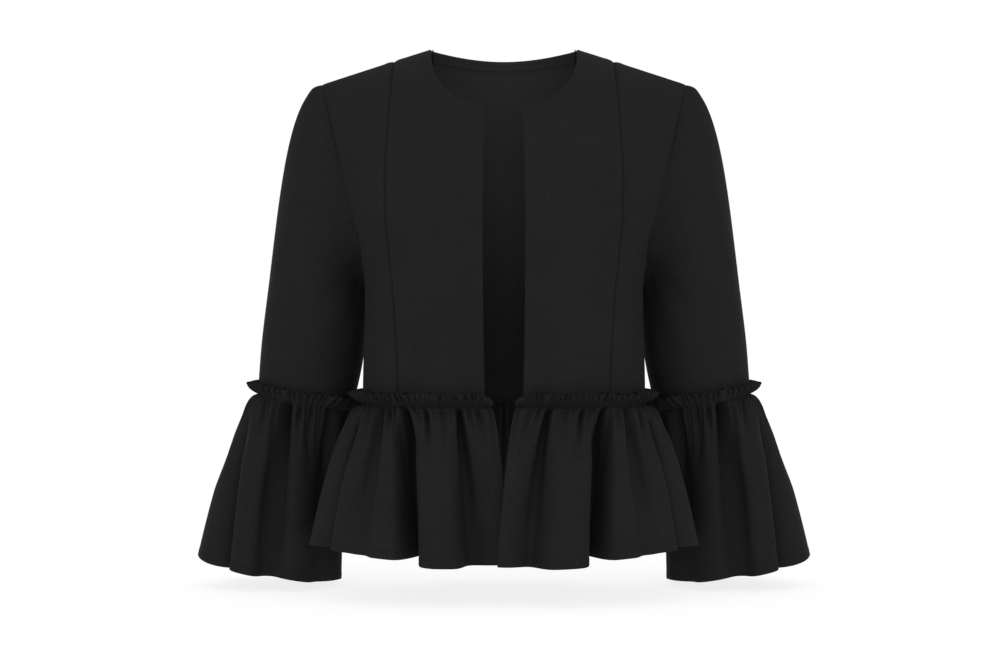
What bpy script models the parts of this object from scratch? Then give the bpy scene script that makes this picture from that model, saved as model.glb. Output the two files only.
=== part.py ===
"""Cropped open-front jacket with a gathered peplum and gathered elbow cuffs, filled out and empty.

Metres, +Z up. The front faces -Y and +X is to the right in the front view. The origin lies midway between
the two shoulder points, where the wearer's shoulders carry the cloth. Every piece is a wall of cloth: an
outer sheet worked out from sizes and short tables, an inner sheet one cloth thickness inside it, and a rim
that closes the two. Neighbouring pieces stand a seam gap apart.
"""

import bmesh
import bpy
import numpy as np


def table(columns, *rows):
    """Sizes as one array for each named column, with a row for each section or fold."""
    return dict(zip(columns.split(), np.array(rows, dtype=float).T))


# Cloth
CLOTH = 0.0012
SEAM_GAP = 0.0003

# Bodice: heights from the shoulder points, widths from the centre line
SHOULDER_X = 0.191
NECK_X = 0.077
NECK_POINT = 0.0365
NECK_CROWN = 0.020
FRONT_NECK = -0.0293
BACK_NECK = 0.0307
UNDERARM = -0.200
WAIST = -0.332
BODY_ROUNDNESS = 2.3
NECK_ROUNDNESS = 2.3
FACING_DEPTH = 0.0085
FACING_GAP = 0.0006

# How far front and back stand from the shoulder line, and where the side lies, by drop below that line
DEPTHS = table(
    "drop   front  back   side",
    (0.000, 0.000, 0.000, 0.000),
    (0.006, 0.020, 0.024, 0.000),
    (0.016, 0.034, 0.041, -0.001),
    (0.040, 0.055, 0.063, -0.003),
    (0.080, 0.076, 0.083, -0.007),
    (0.140, 0.097, 0.100, -0.012),
    (0.200, 0.104, 0.104, -0.016),
    (0.270, 0.094, 0.099, -0.018),
    (0.340, 0.084, 0.091, -0.018),
    (0.390, 0.082, 0.089, -0.018),
)

# Half widths of the figure inside the cloth, by height
WIDTHS = table(
    "height half",
    (-0.335, 0.1470),
    (-0.285, 0.1460),
    (-0.235, 0.1448),
    (-0.200, 0.1465),
    (-0.170, 0.1555),
    (-0.144, 0.1663),
    (-0.110, 0.1762),
    (-0.073, 0.1862),
    (-0.038, 0.1964),
    (0.000, 0.2076),
)

# Where the armhole seam runs, by height
ARMHOLE = table(
    "height across",
    (-0.200, 0.1465),
    (-0.185, 0.1463),
    (-0.170, 0.1470),
    (-0.144, 0.1547),
    (-0.110, 0.1639),
    (-0.073, 0.1732),
    (-0.038, 0.1817),
    (0.000, 0.1910),
)

# The open front edge and the princess seam, by height
FRONT_LINES = table(
    "height edge   princess",
    (-0.335, 0.0197, 0.1055),
    (-0.283, 0.0208, 0.1078),
    (-0.218, 0.0216, 0.1128),
    (-0.150, 0.0219, 0.1193),
    (-0.108, 0.0214, 0.1203),
    (-0.060, 0.0204, 0.1190),
    (-0.018, 0.0196, 0.1170),
    (0.0243, 0.0196, 0.1150),
)

# Sleeve rings below the armhole: where each is centred, its half sizes and how far its outer side is raised
SLEEVE_RINGS = table(
    "height  across  back   half_x  half_y  tilt",
    (-0.215, 0.1972, 0.019, 0.0520, 0.056, 3.0),
    (-0.276, 0.2030, 0.028, 0.0545, 0.056, 6.5),
    (-0.3345, 0.2104, 0.037, 0.0530, 0.055, 10.2),
)
SLEEVE_LEAVES = 0.50
SLEEVE_ARRIVES = 1.20
CAP_FALL = 0.15
CAP_FORWARD = 0.20
CAP_OUT = 0.70
ARMHOLE_GAP = 0.0006

# How soon the folds of a flounce grow to their full depth on the way down to its hem
FOLD_GROWTH = 0.75

# Frilled header above a gathering line
HEADER_RISE = 0.0125
HEADER_FLARE = 0.0095
HEADER_RIPPLE = 0.18
INNER_HEADER = 0.60

# Cuff flounce: its hem ring, where its threads start at the stitch line, and its folds, a row for each trough
CUFF_HEM = {
    "height": -0.5132,
    "across": 0.2500,
    "back": 0.048,
    "half_x": 0.0790,
    "half_y": 0.072,
    "tilt": 10.1,
}
CUFF_BELL = 0.60
CUFF_LEAN = 0.0050
CUFF_SEATS = table(
    "hem  seat",
    (-32, -51),
    (50, 14),
    (80, 56),
    (112, 88),
    (140, 120),
    (180, 168),
    (240, 232),
    (328, 309),
)
CUFF_FOLDS = table(
    "turn depth",
    (-32, 0.022),
    (48, 0.026),
    (88, 0.012),
    (139, 0.012),
    (188, 0.014),
    (236, 0.020),
    (284, 0.024),
)

# Peplum: the same, turning from the centre front to the back
PEPLUM_HEM = {"half": 0.1985, "side": -0.066, "front": 0.090, "back": 0.174}
PEPLUM_FALL = {"front": 0.1610, "side": 0.1430, "back": 0.1550}
PEPLUM_BELL = 0.55
PEPLUM_LEAN = 0.0070
PEPLUM_SEATS = table(
    "hem   seat",
    (-1.5, 4.2),
    (12.0, 19.5),
    (29.0, 39.0),
    (62.0, 70.0),
    (90.0, 90.0),
    (135.0, 135.0),
    (180.0, 180.0),
)
PEPLUM_FOLDS = table(
    "turn depth",
    (-10, 0.010),
    (7, 0.010),
    (29, 0.034),
    (62, 0.028),
    (87, 0.024),
    (114, 0.026),
    (147, 0.030),
    (180, 0.022),
)
LEFT_LAP = 0.010
LAP_TURN = 16.0

# Grid steps
LOWER_ROWS = 4
ARMHOLE_ROWS = 10
NECK_STEPS = 5
SHOULDER_STEPS = 2
SIDE_STEPS = 5
CAP_ROWS = 5
ARM_ROWS = 2
FOLD_STEPS = 8
PEPLUM_FIRST_STEP = 4
PEPLUM_SIDE_STEP = 36
FLOUNCE_ROWS = (1.0, 0.62, 0.32, 0.12)

# Looks
BLACK_CREPE = (0.018, 0.018, 0.019, 1.0)
CREPE_ROUGHNESS = 0.85


def smooth(at, places, values):
    """A cubic curve through a table's rows, level beyond its ends."""
    at = np.clip(at, places[0], places[-1])
    slopes = np.gradient(values, places)
    row = np.clip(np.searchsorted(places, at) - 1, 0, len(places) - 2)
    span = places[row + 1] - places[row]
    s = (at - places[row]) / span
    start = values[row] * (1 + 2 * s) * (1 - s) ** 2 + slopes[row] * span * s * (1 - s) ** 2
    end = values[row + 1] * s**2 * (3 - 2 * s) - slopes[row + 1] * span * s**2 * (1 - s)
    return start + end


def unit(vectors):
    """The vectors at length one."""
    return vectors / np.maximum(np.linalg.norm(vectors, axis=-1, keepdims=True), 1e-9)


def points(x, y, z):
    """Three arrays as one array of points."""
    return np.stack(np.broadcast_arrays(x, y, z), axis=-1)


def mirrored(grid):
    """The same points on the other side of the centre line."""
    return grid * np.array((-1.0, 1.0, 1.0))


def shoulder_height(x):
    """Height of the shoulder line, and of the crown it would make across the open neck."""
    x = np.abs(x)
    slope = NECK_POINT * (SHOULDER_X - x) / (SHOULDER_X - NECK_X)
    crown = NECK_POINT + NECK_CROWN * (1 - (x / NECK_X) ** 2)
    return np.where(x < NECK_X, crown, slope)


def half_width(z):
    """Half width of the figure at a height."""
    return smooth(z, WIDTHS["height"], WIDTHS["half"])


def body(x, z, face):
    """Points of the bodice: a rounded section at each height, rolling over at the shoulder line."""
    drop = np.maximum(shoulder_height(x) - z, 0.0)
    places = np.sqrt(DEPTHS["drop"])
    reach = smooth(np.sqrt(drop), places, DEPTHS["front" if face < 0 else "back"])
    side = smooth(np.sqrt(drop), places, DEPTHS["side"])
    across = np.clip(np.abs(x) / half_width(z), 0.0, 1.0)
    level = (1 - across**BODY_ROUNDNESS) ** (1 / BODY_ROUNDNESS)
    return points(x, side + face * reach * level, z)


def outer_edge(z):
    """Side seam below the armhole, armhole seam above it."""
    return np.where(z < UNDERARM, half_width(z), smooth(z, ARMHOLE["height"], ARMHOLE["across"]))


def front_line(z, line):
    """Distance of the front edge or the princess seam from the centre line."""
    return smooth(z, FRONT_LINES["height"], FRONT_LINES[line])


def panel_heights(tops):
    """Heights from the waist to each column's top, close together at the armhole's foot and the shoulder."""
    lower = np.linspace(WAIST, UNDERARM, LOWER_ROWS + 1)[:-1]
    rise = (1 - np.cos(np.pi * np.linspace(0, 1, ARMHOLE_ROWS + 1))) / 2
    upper = UNDERARM + rise[:, None] * (tops - UNDERARM)
    return np.concatenate([np.repeat(lower[:, None], len(tops), axis=1), upper])


def eased(count):
    """Steps from 0 to 1 that close up towards 1."""
    return np.sin(np.linspace(0, np.pi / 2, count + 1))


def sheet_normals(grid, closed=False):
    """Unit normals of a grid whose rows go up: outwards where its columns go right in the front view."""
    wide = np.concatenate([grid[:, -1:], grid, grid[:, :1]], axis=1) if closed else grid
    up = np.gradient(wide, axis=0)
    along = np.gradient(wide, axis=1)
    normals = unit(np.cross(along, up))
    return normals[:, 1:-1] if closed else normals


def inset(grid):
    """The grid with its four edges drawn in by half a seam gap."""
    grid = grid.copy()
    for edge, inner in ((0, 1), (-1, -2)):
        grid[edge] += unit(grid[inner] - grid[edge]) * SEAM_GAP / 2
        grid[:, edge] += unit(grid[:, inner] - grid[:, edge]) * SEAM_GAP / 2
    return grid


def front_half():
    """Grid and normals of the right front from its open edge to its side, and the princess seam's column."""
    angle = np.linspace(0, np.pi / 2, NECK_STEPS + 1)
    power = 2 / NECK_ROUNDNESS
    neck_edge = front_line(FRONT_NECK, "edge")
    neck_x = neck_edge + (NECK_X - neck_edge) * np.sin(angle) ** power
    neck_z = NECK_POINT - (NECK_POINT - FRONT_NECK) * np.maximum(np.cos(angle), 0) ** power
    seam_x = FRONT_LINES["princess"][-1]
    inner_x = np.linspace(NECK_X, seam_x, SHOULDER_STEPS + 1)[1:]
    outer_x = seam_x + (SHOULDER_X - seam_x) * eased(SIDE_STEPS)[1:]

    centre_x = np.concatenate([neck_x, inner_x])
    centre_top = np.concatenate([neck_z, shoulder_height(inner_x)])
    side_top = shoulder_height(outer_x)
    edge = front_line(centre_top, "edge")
    centre_share = (centre_x - edge) / (front_line(centre_top, "princess") - edge)
    seam = front_line(side_top, "princess")
    side_share = (outer_x - seam) / (outer_edge(side_top) - seam)

    centre_z = panel_heights(centre_top)
    side_z = panel_heights(side_top)
    edge = front_line(centre_z, "edge")
    centre_grid = body(edge + centre_share * (front_line(centre_z, "princess") - edge), centre_z, -1)
    seam = front_line(side_z, "princess")
    side_grid = body(seam + side_share * (outer_edge(side_z) - seam), side_z, -1)

    grid = np.concatenate([centre_grid, side_grid], axis=1)
    normals = seam_normals(sheet_normals(grid), NECK_STEPS)
    return grid, normals, len(centre_x) - 1


def seam_normals(normals, neck_column):
    """Normals made common to front and back: straight off the shoulder line, and straight out at the side."""
    slope = NECK_POINT / (SHOULDER_X - NECK_X)
    normals = normals.copy()
    normals[-1, neck_column:] = unit(np.array((slope, 0.0, 1.0)))
    normals[: LOWER_ROWS + 1, -1] = (1.0, 0.0, 0.0)
    return normals


def back_half():
    """Grid and normals of the right half of the back, from its centre to its side."""
    angle = np.linspace(0, np.pi / 2, NECK_STEPS + 1)
    neck_x = NECK_X * np.sin(angle)
    neck_z = NECK_POINT - (NECK_POINT - BACK_NECK) * np.cos(angle)
    outer_x = NECK_X + (SHOULDER_X - NECK_X) * eased(SIDE_STEPS)[1:]
    top_x = np.concatenate([neck_x, outer_x])
    tops = np.concatenate([neck_z, shoulder_height(outer_x)])
    heights = panel_heights(tops)
    grid = body(top_x / outer_edge(tops) * outer_edge(heights), heights, 1)
    normals = seam_normals(-sheet_normals(grid), NECK_STEPS)
    normals[:, 0, 0] = 0.0
    return grid, unit(normals)


def both_halves(right):
    """A half that starts on the centre line, with its mirror image joined on."""
    return np.concatenate([mirrored(right)[:, :0:-1], right], axis=1)


def facing_sheet(grid, normals):
    """Band inside the back neck, made from the back's own points and moved in under it."""
    neck = slice(SIDE_STEPS, SIDE_STEPS + 2 * NECK_STEPS + 1)
    rows = grid[:-4:-1, neck] - (CLOTH + FACING_GAP) * normals[:-4:-1, neck]
    heights = grid[:-4:-1, neck, 2:]
    share = (FACING_DEPTH - heights[0] + heights[1]) / (heights[1] - heights[2])
    foot = rows[1] + (rows[2] - rows[1]) * share
    foot_normals = normals[-2, neck] + (normals[-3, neck] - normals[-2, neck]) * share
    sheet = np.stack([foot, rows[1], rows[0]])
    return sheet, unit(np.stack([foot_normals, normals[-2, neck], normals[-1, neck]]))


def ellipse(turn, across, back, height, half_x, half_y, tilt):
    """Ring around the right arm, turning from its outer side to its front; the tilt raises the outer side."""
    out = half_x * np.cos(turn)
    lean = np.radians(tilt)
    return points(across + out * np.cos(lean), back - half_y * np.sin(turn), height + out * np.sin(lean))


def ring_row(rings, row):
    """One row of a table of rings."""
    return {name: column[row] for name, column in rings.items()}


def armhole_loop(front, back):
    """What front and back hold along the right armhole, from the shoulder point round by the front."""
    return np.concatenate([front[:LOWER_ROWS:-1, -1], back[LOWER_ROWS:-1, -1]])


def sleeve_sheet(loop, off_body):
    """Right sleeve: lines that leave the armhole, round over the cap and run down to the cuff seam."""
    steps = np.linalg.norm(np.diff(loop, axis=0, append=loop[:1]), axis=1)
    walked = np.concatenate([[0.0], np.cumsum(steps)])
    halves = (walked[0], walked[ARMHOLE_ROWS], walked[-1])
    turn = np.interp(walked[:-1], halves, (0.0, np.pi, 2 * np.pi))

    lift = (np.cos(turn / 2) ** 2)[:, None]
    outwards = np.array((1.0, 0.0, -CAP_FALL))
    down = points(0.0, -CAP_FORWARD * np.sin(turn), -np.ones_like(turn))
    leave = unit(lift * outwards + (1 - lift) * (down + CAP_OUT * off_body))
    start = loop + leave * ARMHOLE_GAP

    bicep, elbow, wrist = (ellipse(turn, **ring_row(SLEEVE_RINGS, row)) for row in range(3))
    length = np.linalg.norm(bicep - start, axis=-1, keepdims=True)
    arrive = unit(elbow - bicep) * length * SLEEVE_ARRIVES
    bend = (wrist - bicep) / 2
    rows = [hermite(start, bicep, leave * length * SLEEVE_LEAVES, arrive, s) for s in fractions(CAP_ROWS)]
    rows += [hermite(bicep, elbow, elbow - bicep, bend, s) for s in fractions(ARM_ROWS)]
    rows += [hermite(elbow, wrist, bend, wrist - elbow, s) for s in fractions(ARM_ROWS)]
    return np.stack(rows + [wrist])


def fractions(count):
    """Equal steps from 0, without the end."""
    return np.arange(count) / count


def hermite(start, end, leave, arrive, s):
    """Point at share s of a cubic that leaves and arrives with the given tangents."""
    first = start * (1 + 2 * s) * (1 - s) ** 2 + leave * s * (1 - s) ** 2
    return first + end * s**2 * (3 - 2 * s) - arrive * s**2 * (1 - s)


def ring_directions(ring, closed):
    """Level tangents along a ring, and the level directions that point out of it."""
    wide = np.concatenate([ring[-1:], ring, ring[:1]]) if closed else ring
    along = np.gradient(wide, axis=0)
    along = along[1:-1] if closed else along
    along = unit(along * np.array((1.0, 1.0, 0.0)))
    return along, points(-along[:, 1], along[:, 0], np.zeros(len(along)))


def ruffle_sheet(stitch, hem, phase, depth, lean, bell, flare, rise, closed):
    """Gathered strip: a frilled header above the stitch ring, then a bell whose folds grow to the hem.

    Troughs lie at whole phases. A fold moves a point in by its depth times half of one plus the cosine of the
    phase, and sideways by the lean times its sine, which leaves broad ridges and narrow troughs.
    """
    along, out = ring_directions(hem, closed)
    if np.sum(out * (hem - hem.mean(axis=0))) < 0:
        out = -out
    wave = 2 * np.pi * phase[:, None]
    inwards = depth[:, None] * (1 + np.cos(wave)) / 2
    sideways = lean * np.sin(wave)
    frill = flare[:, None] * (1 - HEADER_RIPPLE * (1 + np.cos(2 * wave)))
    level = np.array((1.0, 1.0, 0.0))
    rows = []
    for share in FLOUNCE_ROWS:
        path = stitch + (hem - stitch) * (level * share**bell + (1 - level) * share)
        rows.append(path - (out * inwards + along * sideways) * share**FOLD_GROWTH)
    return np.stack(rows + [stitch, stitch + out * frill + np.array(rise)])


def cuff_sheet():
    """Right cuff ruffle, all round the sleeve's lower edge."""
    folds = len(CUFF_FOLDS["turn"])
    places = np.arange(folds + 1.0)
    phase = np.arange(folds * FOLD_STEPS) / FOLD_STEPS
    turn = np.radians(smooth(phase, places, np.append(CUFF_FOLDS["turn"], CUFF_FOLDS["turn"][0] + 360)))
    depth = smooth(phase, places, np.append(CUFF_FOLDS["depth"], CUFF_FOLDS["depth"][0]))
    seat = ring_row(SLEEVE_RINGS, -1)
    seat["half_x"] += CLOTH + SEAM_GAP
    seat["half_y"] += CLOTH + SEAM_GAP
    seat_turn = np.radians(smooth(np.degrees(turn), CUFF_SEATS["hem"], CUFF_SEATS["seat"]))
    stitch = ellipse(seat_turn, **seat)
    hem = ellipse(turn, **CUFF_HEM)
    flare = HEADER_FLARE * (INNER_HEADER + (1 - INNER_HEADER) * np.cos(seat_turn / 2) ** 2)
    lean = np.radians(seat["tilt"])
    rise = (-HEADER_RISE * np.sin(lean), 0.0, HEADER_RISE * np.cos(lean))
    return ruffle_sheet(stitch, hem, phase, depth, CUFF_LEAN, CUFF_BELL, flare, rise, closed=True)


def waist_ring(turn):
    """Outer face of the gathering line around the bodice, from the centre front to the back."""
    sine = np.sin(turn)
    across = np.sign(sine) * np.abs(sine) ** (2 / BODY_ROUNDNESS) * half_width(WAIST)
    front = body(across, np.full_like(across, WAIST), -1)
    back = body(across, np.full_like(across, WAIST), 1)
    ring = np.where((np.cos(turn) > 0)[:, None], front, back)
    _, out = ring_directions(ring, closed=False)
    return ring + out * (CLOTH + SEAM_GAP) * np.sign(np.sum(out * ring))


def peplum_sheet(lap):
    """Right half of the peplum from its front end to the centre back, the front end laid back by the lap."""
    troughs = PEPLUM_FOLDS["turn"]
    places = np.arange(float(len(troughs)))
    phase = np.arange(PEPLUM_FIRST_STEP, (len(troughs) - 1) * FOLD_STEPS + 1) / FOLD_STEPS
    turn = smooth(phase, places, troughs)
    depth = smooth(phase, places, PEPLUM_FOLDS["depth"])
    stitch = waist_ring(np.radians(smooth(turn, PEPLUM_SEATS["hem"], PEPLUM_SEATS["seat"])))

    sine = np.sin(np.radians(turn))
    cosine = np.cos(np.radians(turn))
    reach = np.where(cosine > 0, PEPLUM_HEM["front"], PEPLUM_HEM["back"])
    end_fall = np.where(cosine > 0, PEPLUM_FALL["front"], PEPLUM_FALL["back"])
    fall = PEPLUM_FALL["side"] + (end_fall - PEPLUM_FALL["side"]) * cosine**2
    laid_back = lap * np.clip(1 - turn / LAP_TURN, 0, None)
    hem = points(PEPLUM_HEM["half"] * sine, PEPLUM_HEM["side"] - reach * cosine + laid_back, WAIST - fall)
    flare = np.full_like(turn, HEADER_FLARE)
    rise = (0.0, 0.0, HEADER_RISE)
    return ruffle_sheet(stitch, hem, phase, depth, PEPLUM_LEAN, PEPLUM_BELL, flare, rise, closed=False)


def crepe(name):
    """The black crepe of one piece."""
    material = bpy.data.materials.new(name + "_crepe")
    material.use_nodes = True
    material.diffuse_color = BLACK_CREPE
    shader = material.node_tree.nodes["Principled BSDF"]
    shader.inputs["Base Color"].default_value = BLACK_CREPE
    shader.inputs["Roughness"].default_value = CREPE_ROUGHNESS
    shader.inputs["Metallic"].default_value = 0.0
    return material


def cloth_piece(name, outer, normals, closed=False):
    """A named wall of cloth: the outer sheet, the inner sheet behind it, and the rim along the open edges."""
    rows, columns = outer.shape[:2]
    mesh_builder = bmesh.new()
    sheets = [
        [[mesh_builder.verts.new(point) for point in row] for row in sheet]
        for sheet in (outer, outer - CLOTH * normals)
    ]
    last = columns if closed else columns - 1
    for sheet in sheets:
        for row in range(rows - 1):
            for column in range(last):
                after = (column + 1) % columns
                lower = sheet[row]
                upper = sheet[row + 1]
                mesh_builder.faces.new((lower[column], lower[after], upper[after], upper[column]))
    front, behind = sheets
    for row in (0, rows - 1):
        for column in range(last):
            after = (column + 1) % columns
            mesh_builder.faces.new(
                (front[row][column], front[row][after], behind[row][after], behind[row][column])
            )
    for column in () if closed else (0, columns - 1):
        for row in range(rows - 1):
            mesh_builder.faces.new(
                (front[row][column], front[row + 1][column], behind[row + 1][column], behind[row][column])
            )
    bmesh.ops.recalc_face_normals(mesh_builder, faces=mesh_builder.faces)
    if mesh_builder.calc_volume(signed=True) < 0:
        bmesh.ops.reverse_faces(mesh_builder, faces=mesh_builder.faces)
    mesh = bpy.data.meshes.new(name)
    mesh_builder.to_mesh(mesh)
    mesh_builder.free()
    mesh.shade_smooth()
    mesh.materials.append(crepe(name))
    bpy.context.collection.objects.link(bpy.data.objects.new(name, mesh))


def pair(name, sheet, normals, closed=False):
    """A piece for the right side and its mirror image for the left."""
    cloth_piece(name + "_right", sheet, normals, closed)
    cloth_piece(name + "_left", mirrored(sheet), mirrored(normals), closed)


def outward_normals(sheet, closed=False):
    """Normals of a ring-shaped sheet, turned to point away from its middle."""
    normals = sheet_normals(sheet, closed)
    middle = sheet.mean(axis=(0, 1)) if closed else np.array((0.0, 0.0, sheet[..., 2].mean()))
    level = (sheet - middle) * np.array((1.0, 1.0, 0.0))
    return normals if np.sum(normals * level) > 0 else -normals


def build_bodice():
    """Centre fronts, side fronts, the back and its neck facing; gives the armhole's points and normals."""
    front, front_normals, seam = front_half()
    pair("centre_front", inset(front[:, : seam + 1]), front_normals[:, : seam + 1])
    pair("side_front", inset(front[:, seam:]), front_normals[:, seam:])
    back, back_normals = back_half()
    whole_back = both_halves(back)
    whole_normals = both_halves(back_normals)
    cloth_piece("back", inset(whole_back), whole_normals)
    cloth_piece("back_neck_facing", *facing_sheet(whole_back, whole_normals))
    return armhole_loop(front, back), armhole_loop(front_normals, back_normals)


def build_peplum():
    """Two front stretches, the right one lapping over the left at the hem, and the back between the sides."""
    side = PEPLUM_SIDE_STEP - PEPLUM_FIRST_STEP
    right = peplum_sheet(0.0)
    right_normals = outward_normals(right)
    left = mirrored(peplum_sheet(LEFT_LAP))
    left_normals = outward_normals(left)
    cloth_piece("peplum_front_right", inset(right[:, : side + 1]), right_normals[:, : side + 1])
    cloth_piece("peplum_front_left", inset(left[:, : side + 1]), left_normals[:, : side + 1])
    back = both_halves(right[:, : side - 1 : -1])
    back_normals = both_halves(right_normals[:, : side - 1 : -1])
    cloth_piece("peplum_back", inset(back), back_normals)


def main():
    """Clears the scene and makes every piece."""
    for item in list(bpy.data.objects):
        bpy.data.objects.remove(item, do_unlink=True)
    sleeve = sleeve_sheet(*build_bodice())
    pair("sleeve", sleeve, outward_normals(sleeve, closed=True), closed=True)
    cuff = cuff_sheet()
    pair("cuff_ruffle", cuff, outward_normals(cuff, closed=True), closed=True)
    build_peplum()


main()
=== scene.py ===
"""Looks of the cropped open-front jacket: creased cloth walls, sewn seams, gathers, crepe and a pale studio.

Metres, +Z up, front towards -Y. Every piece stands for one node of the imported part, and repeats that node's
form on a finer grid, with the seams, soft creases, gathers and hems that the solids leave out.
"""

import bpy
import numpy as np
from bpy.props import FloatProperty, FloatVectorProperty, PointerProperty
from bpy.types import Operator, Panel, PropertyGroup
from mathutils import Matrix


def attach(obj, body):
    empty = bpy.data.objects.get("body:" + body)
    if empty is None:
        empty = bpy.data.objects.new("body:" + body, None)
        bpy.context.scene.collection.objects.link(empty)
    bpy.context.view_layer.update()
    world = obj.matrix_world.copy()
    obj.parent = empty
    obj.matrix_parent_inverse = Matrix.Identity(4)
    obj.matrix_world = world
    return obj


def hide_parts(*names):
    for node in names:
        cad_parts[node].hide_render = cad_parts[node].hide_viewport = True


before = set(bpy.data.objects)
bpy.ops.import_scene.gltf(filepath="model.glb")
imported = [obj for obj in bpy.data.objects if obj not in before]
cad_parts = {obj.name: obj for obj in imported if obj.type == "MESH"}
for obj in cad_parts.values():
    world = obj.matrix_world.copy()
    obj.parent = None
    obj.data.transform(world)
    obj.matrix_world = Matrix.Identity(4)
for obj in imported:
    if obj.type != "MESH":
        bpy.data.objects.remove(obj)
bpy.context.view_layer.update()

bl_info = {
    "name": "Cropped jacket",
    "version": (1, 0, 0),
    "blender": (4, 5, 0),
    "location": "3D View > Sidebar > Jacket",
    "description": "Makes the cloth of a cropped jacket with gathered cuffs and peplum, and its studio",
    "category": "Object",
}


def table(columns, *rows):
    """Sizes as one array for each named column, with a row for each section, fold or crease."""
    return dict(zip(columns.split(), np.array(rows, dtype=float).T))


# Bodice: heights from the shoulder points, widths from the centre line
SHOULDER_X = 0.191
NECK_X = 0.077
NECK_POINT = 0.0365
NECK_CROWN = 0.020
FRONT_NECK = -0.0293
BACK_NECK = 0.0307
UNDERARM = -0.200
WAIST = -0.3345
ROUNDNESS = 2.3
NECK_ROUNDNESS = 2.15
BACK_NECK_CURVE = 1.6
FACING_DEPTH = 0.0085
SEAM_GAP = 0.0003
NECK_ROLL_IN = 0.015
EDGE_ROLL = 0.0003
EDGE_ROLL_WIDTH = 0.0016
SIDE_SINK = 0.3
ARMHOLE_SINK = 0.85
ARMHOLE_SINK_IN = 0.045
SHOULDER_SINK = 0.45
SINK_FROM_UNDERARM = 0.3
SINK_TO_SHOULDER = 0.2
ALLOWANCE_SHARE = 0.45
PUCKER_WAVES = ((520, 1.3), (347, 0.4), (811, 0.0))
PUCKER_REACH = 0.009
FACED_WIDTH = 0.012

DEPTHS = table(
    "drop   front  back   side",
    (0.000, 0.000, 0.000, 0.000),
    (0.006, 0.020, 0.024, 0.000),
    (0.016, 0.034, 0.041, -0.001),
    (0.040, 0.055, 0.063, -0.003),
    (0.080, 0.076, 0.083, -0.007),
    (0.140, 0.097, 0.100, -0.012),
    (0.200, 0.104, 0.104, -0.016),
    (0.270, 0.094, 0.099, -0.018),
    (0.340, 0.084, 0.091, -0.018),
    (0.390, 0.082, 0.089, -0.018),
)
WIDTHS = table(
    "height half",
    (-0.337, 0.1470),
    (-0.285, 0.1460),
    (-0.235, 0.1448),
    (-0.200, 0.1465),
    (-0.170, 0.1555),
    (-0.144, 0.1663),
    (-0.110, 0.1762),
    (-0.073, 0.1862),
    (-0.038, 0.1964),
    (0.000, 0.2076),
)
ARMHOLE = table(
    "height across",
    (-0.200, 0.1465),
    (-0.185, 0.1463),
    (-0.170, 0.1470),
    (-0.144, 0.1547),
    (-0.110, 0.1639),
    (-0.073, 0.1732),
    (-0.038, 0.1817),
    (0.000, 0.1910),
)
FRONT_LINES = table(
    "height edge   princess",
    (-0.337, 0.0197, 0.1073),
    (-0.283, 0.0208, 0.1086),
    (-0.218, 0.0216, 0.1128),
    (-0.150, 0.0219, 0.1193),
    (-0.108, 0.0214, 0.1203),
    (-0.060, 0.0204, 0.1190),
    (-0.018, 0.0196, 0.1170),
    (0.0243, 0.0196, 0.1150),
)

# Soft creases of the bodice from one end to the other; a negative depth is a ridge. Each keeps its depth over
# its middle, as a share of its length to either side, and fades beyond that
CREASE_MIDDLE = 0.3
CREASE_FADE = 0.18
CREASE_ENDS = ("x", "z", "to_x", "to_z")
FRONT_CREASES = table(
    "x      z       to_x   to_z    depth    width",
    (0.150, -0.205, 0.108, -0.160, 0.0010, 0.011),
    (0.146, -0.225, 0.112, -0.205, 0.0008, 0.009),
    (0.1370, -0.225, 0.1345, -0.330, 0.0014, 0.007),
    (0.1260, -0.200, 0.1200, -0.330, -0.0008, 0.006),
    (0.062, -0.010, 0.070, -0.120, -0.0010, 0.020),
    (0.040, -0.245, 0.052, -0.335, 0.0008, 0.013),
    (0.080, -0.275, 0.076, -0.335, 0.0007, 0.009),
    (0.160, -0.060, 0.140, -0.130, 0.0007, 0.010),
)
BACK_CREASES = table(
    "x      z       to_x   to_z    depth    width",
    (0.150, -0.200, 0.095, -0.140, 0.0014, 0.013),
    (0.142, -0.235, 0.080, -0.215, 0.0012, 0.011),
    (0.105, -0.230, 0.098, -0.335, 0.0016, 0.010),
    (0.050, -0.240, 0.055, -0.335, 0.0012, 0.012),
    (0.000, -0.020, 0.000, -0.120, -0.0010, 0.030),
    (0.070, 0.000, 0.110, -0.090, 0.0010, 0.016),
)

# Sleeve rings below the armhole: where each is centred, its half sizes and how far its outer side is raised
SLEEVE_RINGS = table(
    "height  across  back   half_x  half_y  tilt",
    (-0.215, 0.1972, 0.019, 0.0520, 0.056, 3.0),
    (-0.276, 0.2031, 0.028, 0.0545, 0.056, 6.5),
    (-0.3345, 0.2123, 0.037, 0.0511, 0.055, 10.2),
)
SLEEVE_LEAVES = 0.50
SLEEVE_ARRIVES = 1.20
CAP_FALL = 0.15
CAP_FORWARD = 0.20
CAP_OUT = table(
    "turn out",
    (0, 0.00),
    (12, -0.30),
    (25, -0.80),
    (50, -0.90),
    (72, -0.40),
    (92, 0.20),
    (115, 0.60),
    (180, 0.70),
)
ARMHOLE_GAP = 0.00015
CAP_EASE = 0.0012
CAP_EASE_AT = 0.010
CAP_EASE_WIDTH = 0.007
CAP_CROWDING = 1.6
ARMPIT_FALL = 0.0110
ARMPIT_FALL_AT = 0.020
ARMPIT_TUCK = 0.0015
ARMPIT_TUCK_AT = 0.004
ARMPIT = table(
    "turn share",
    (0, 0.00),
    (10, 0.12),
    (25, 0.80),
    (40, 1.00),
    (65, 0.85),
    (90, 0.30),
    (115, 0.00),
    (180, 0.00),
)
MILLIMETRES = 1000
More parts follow.
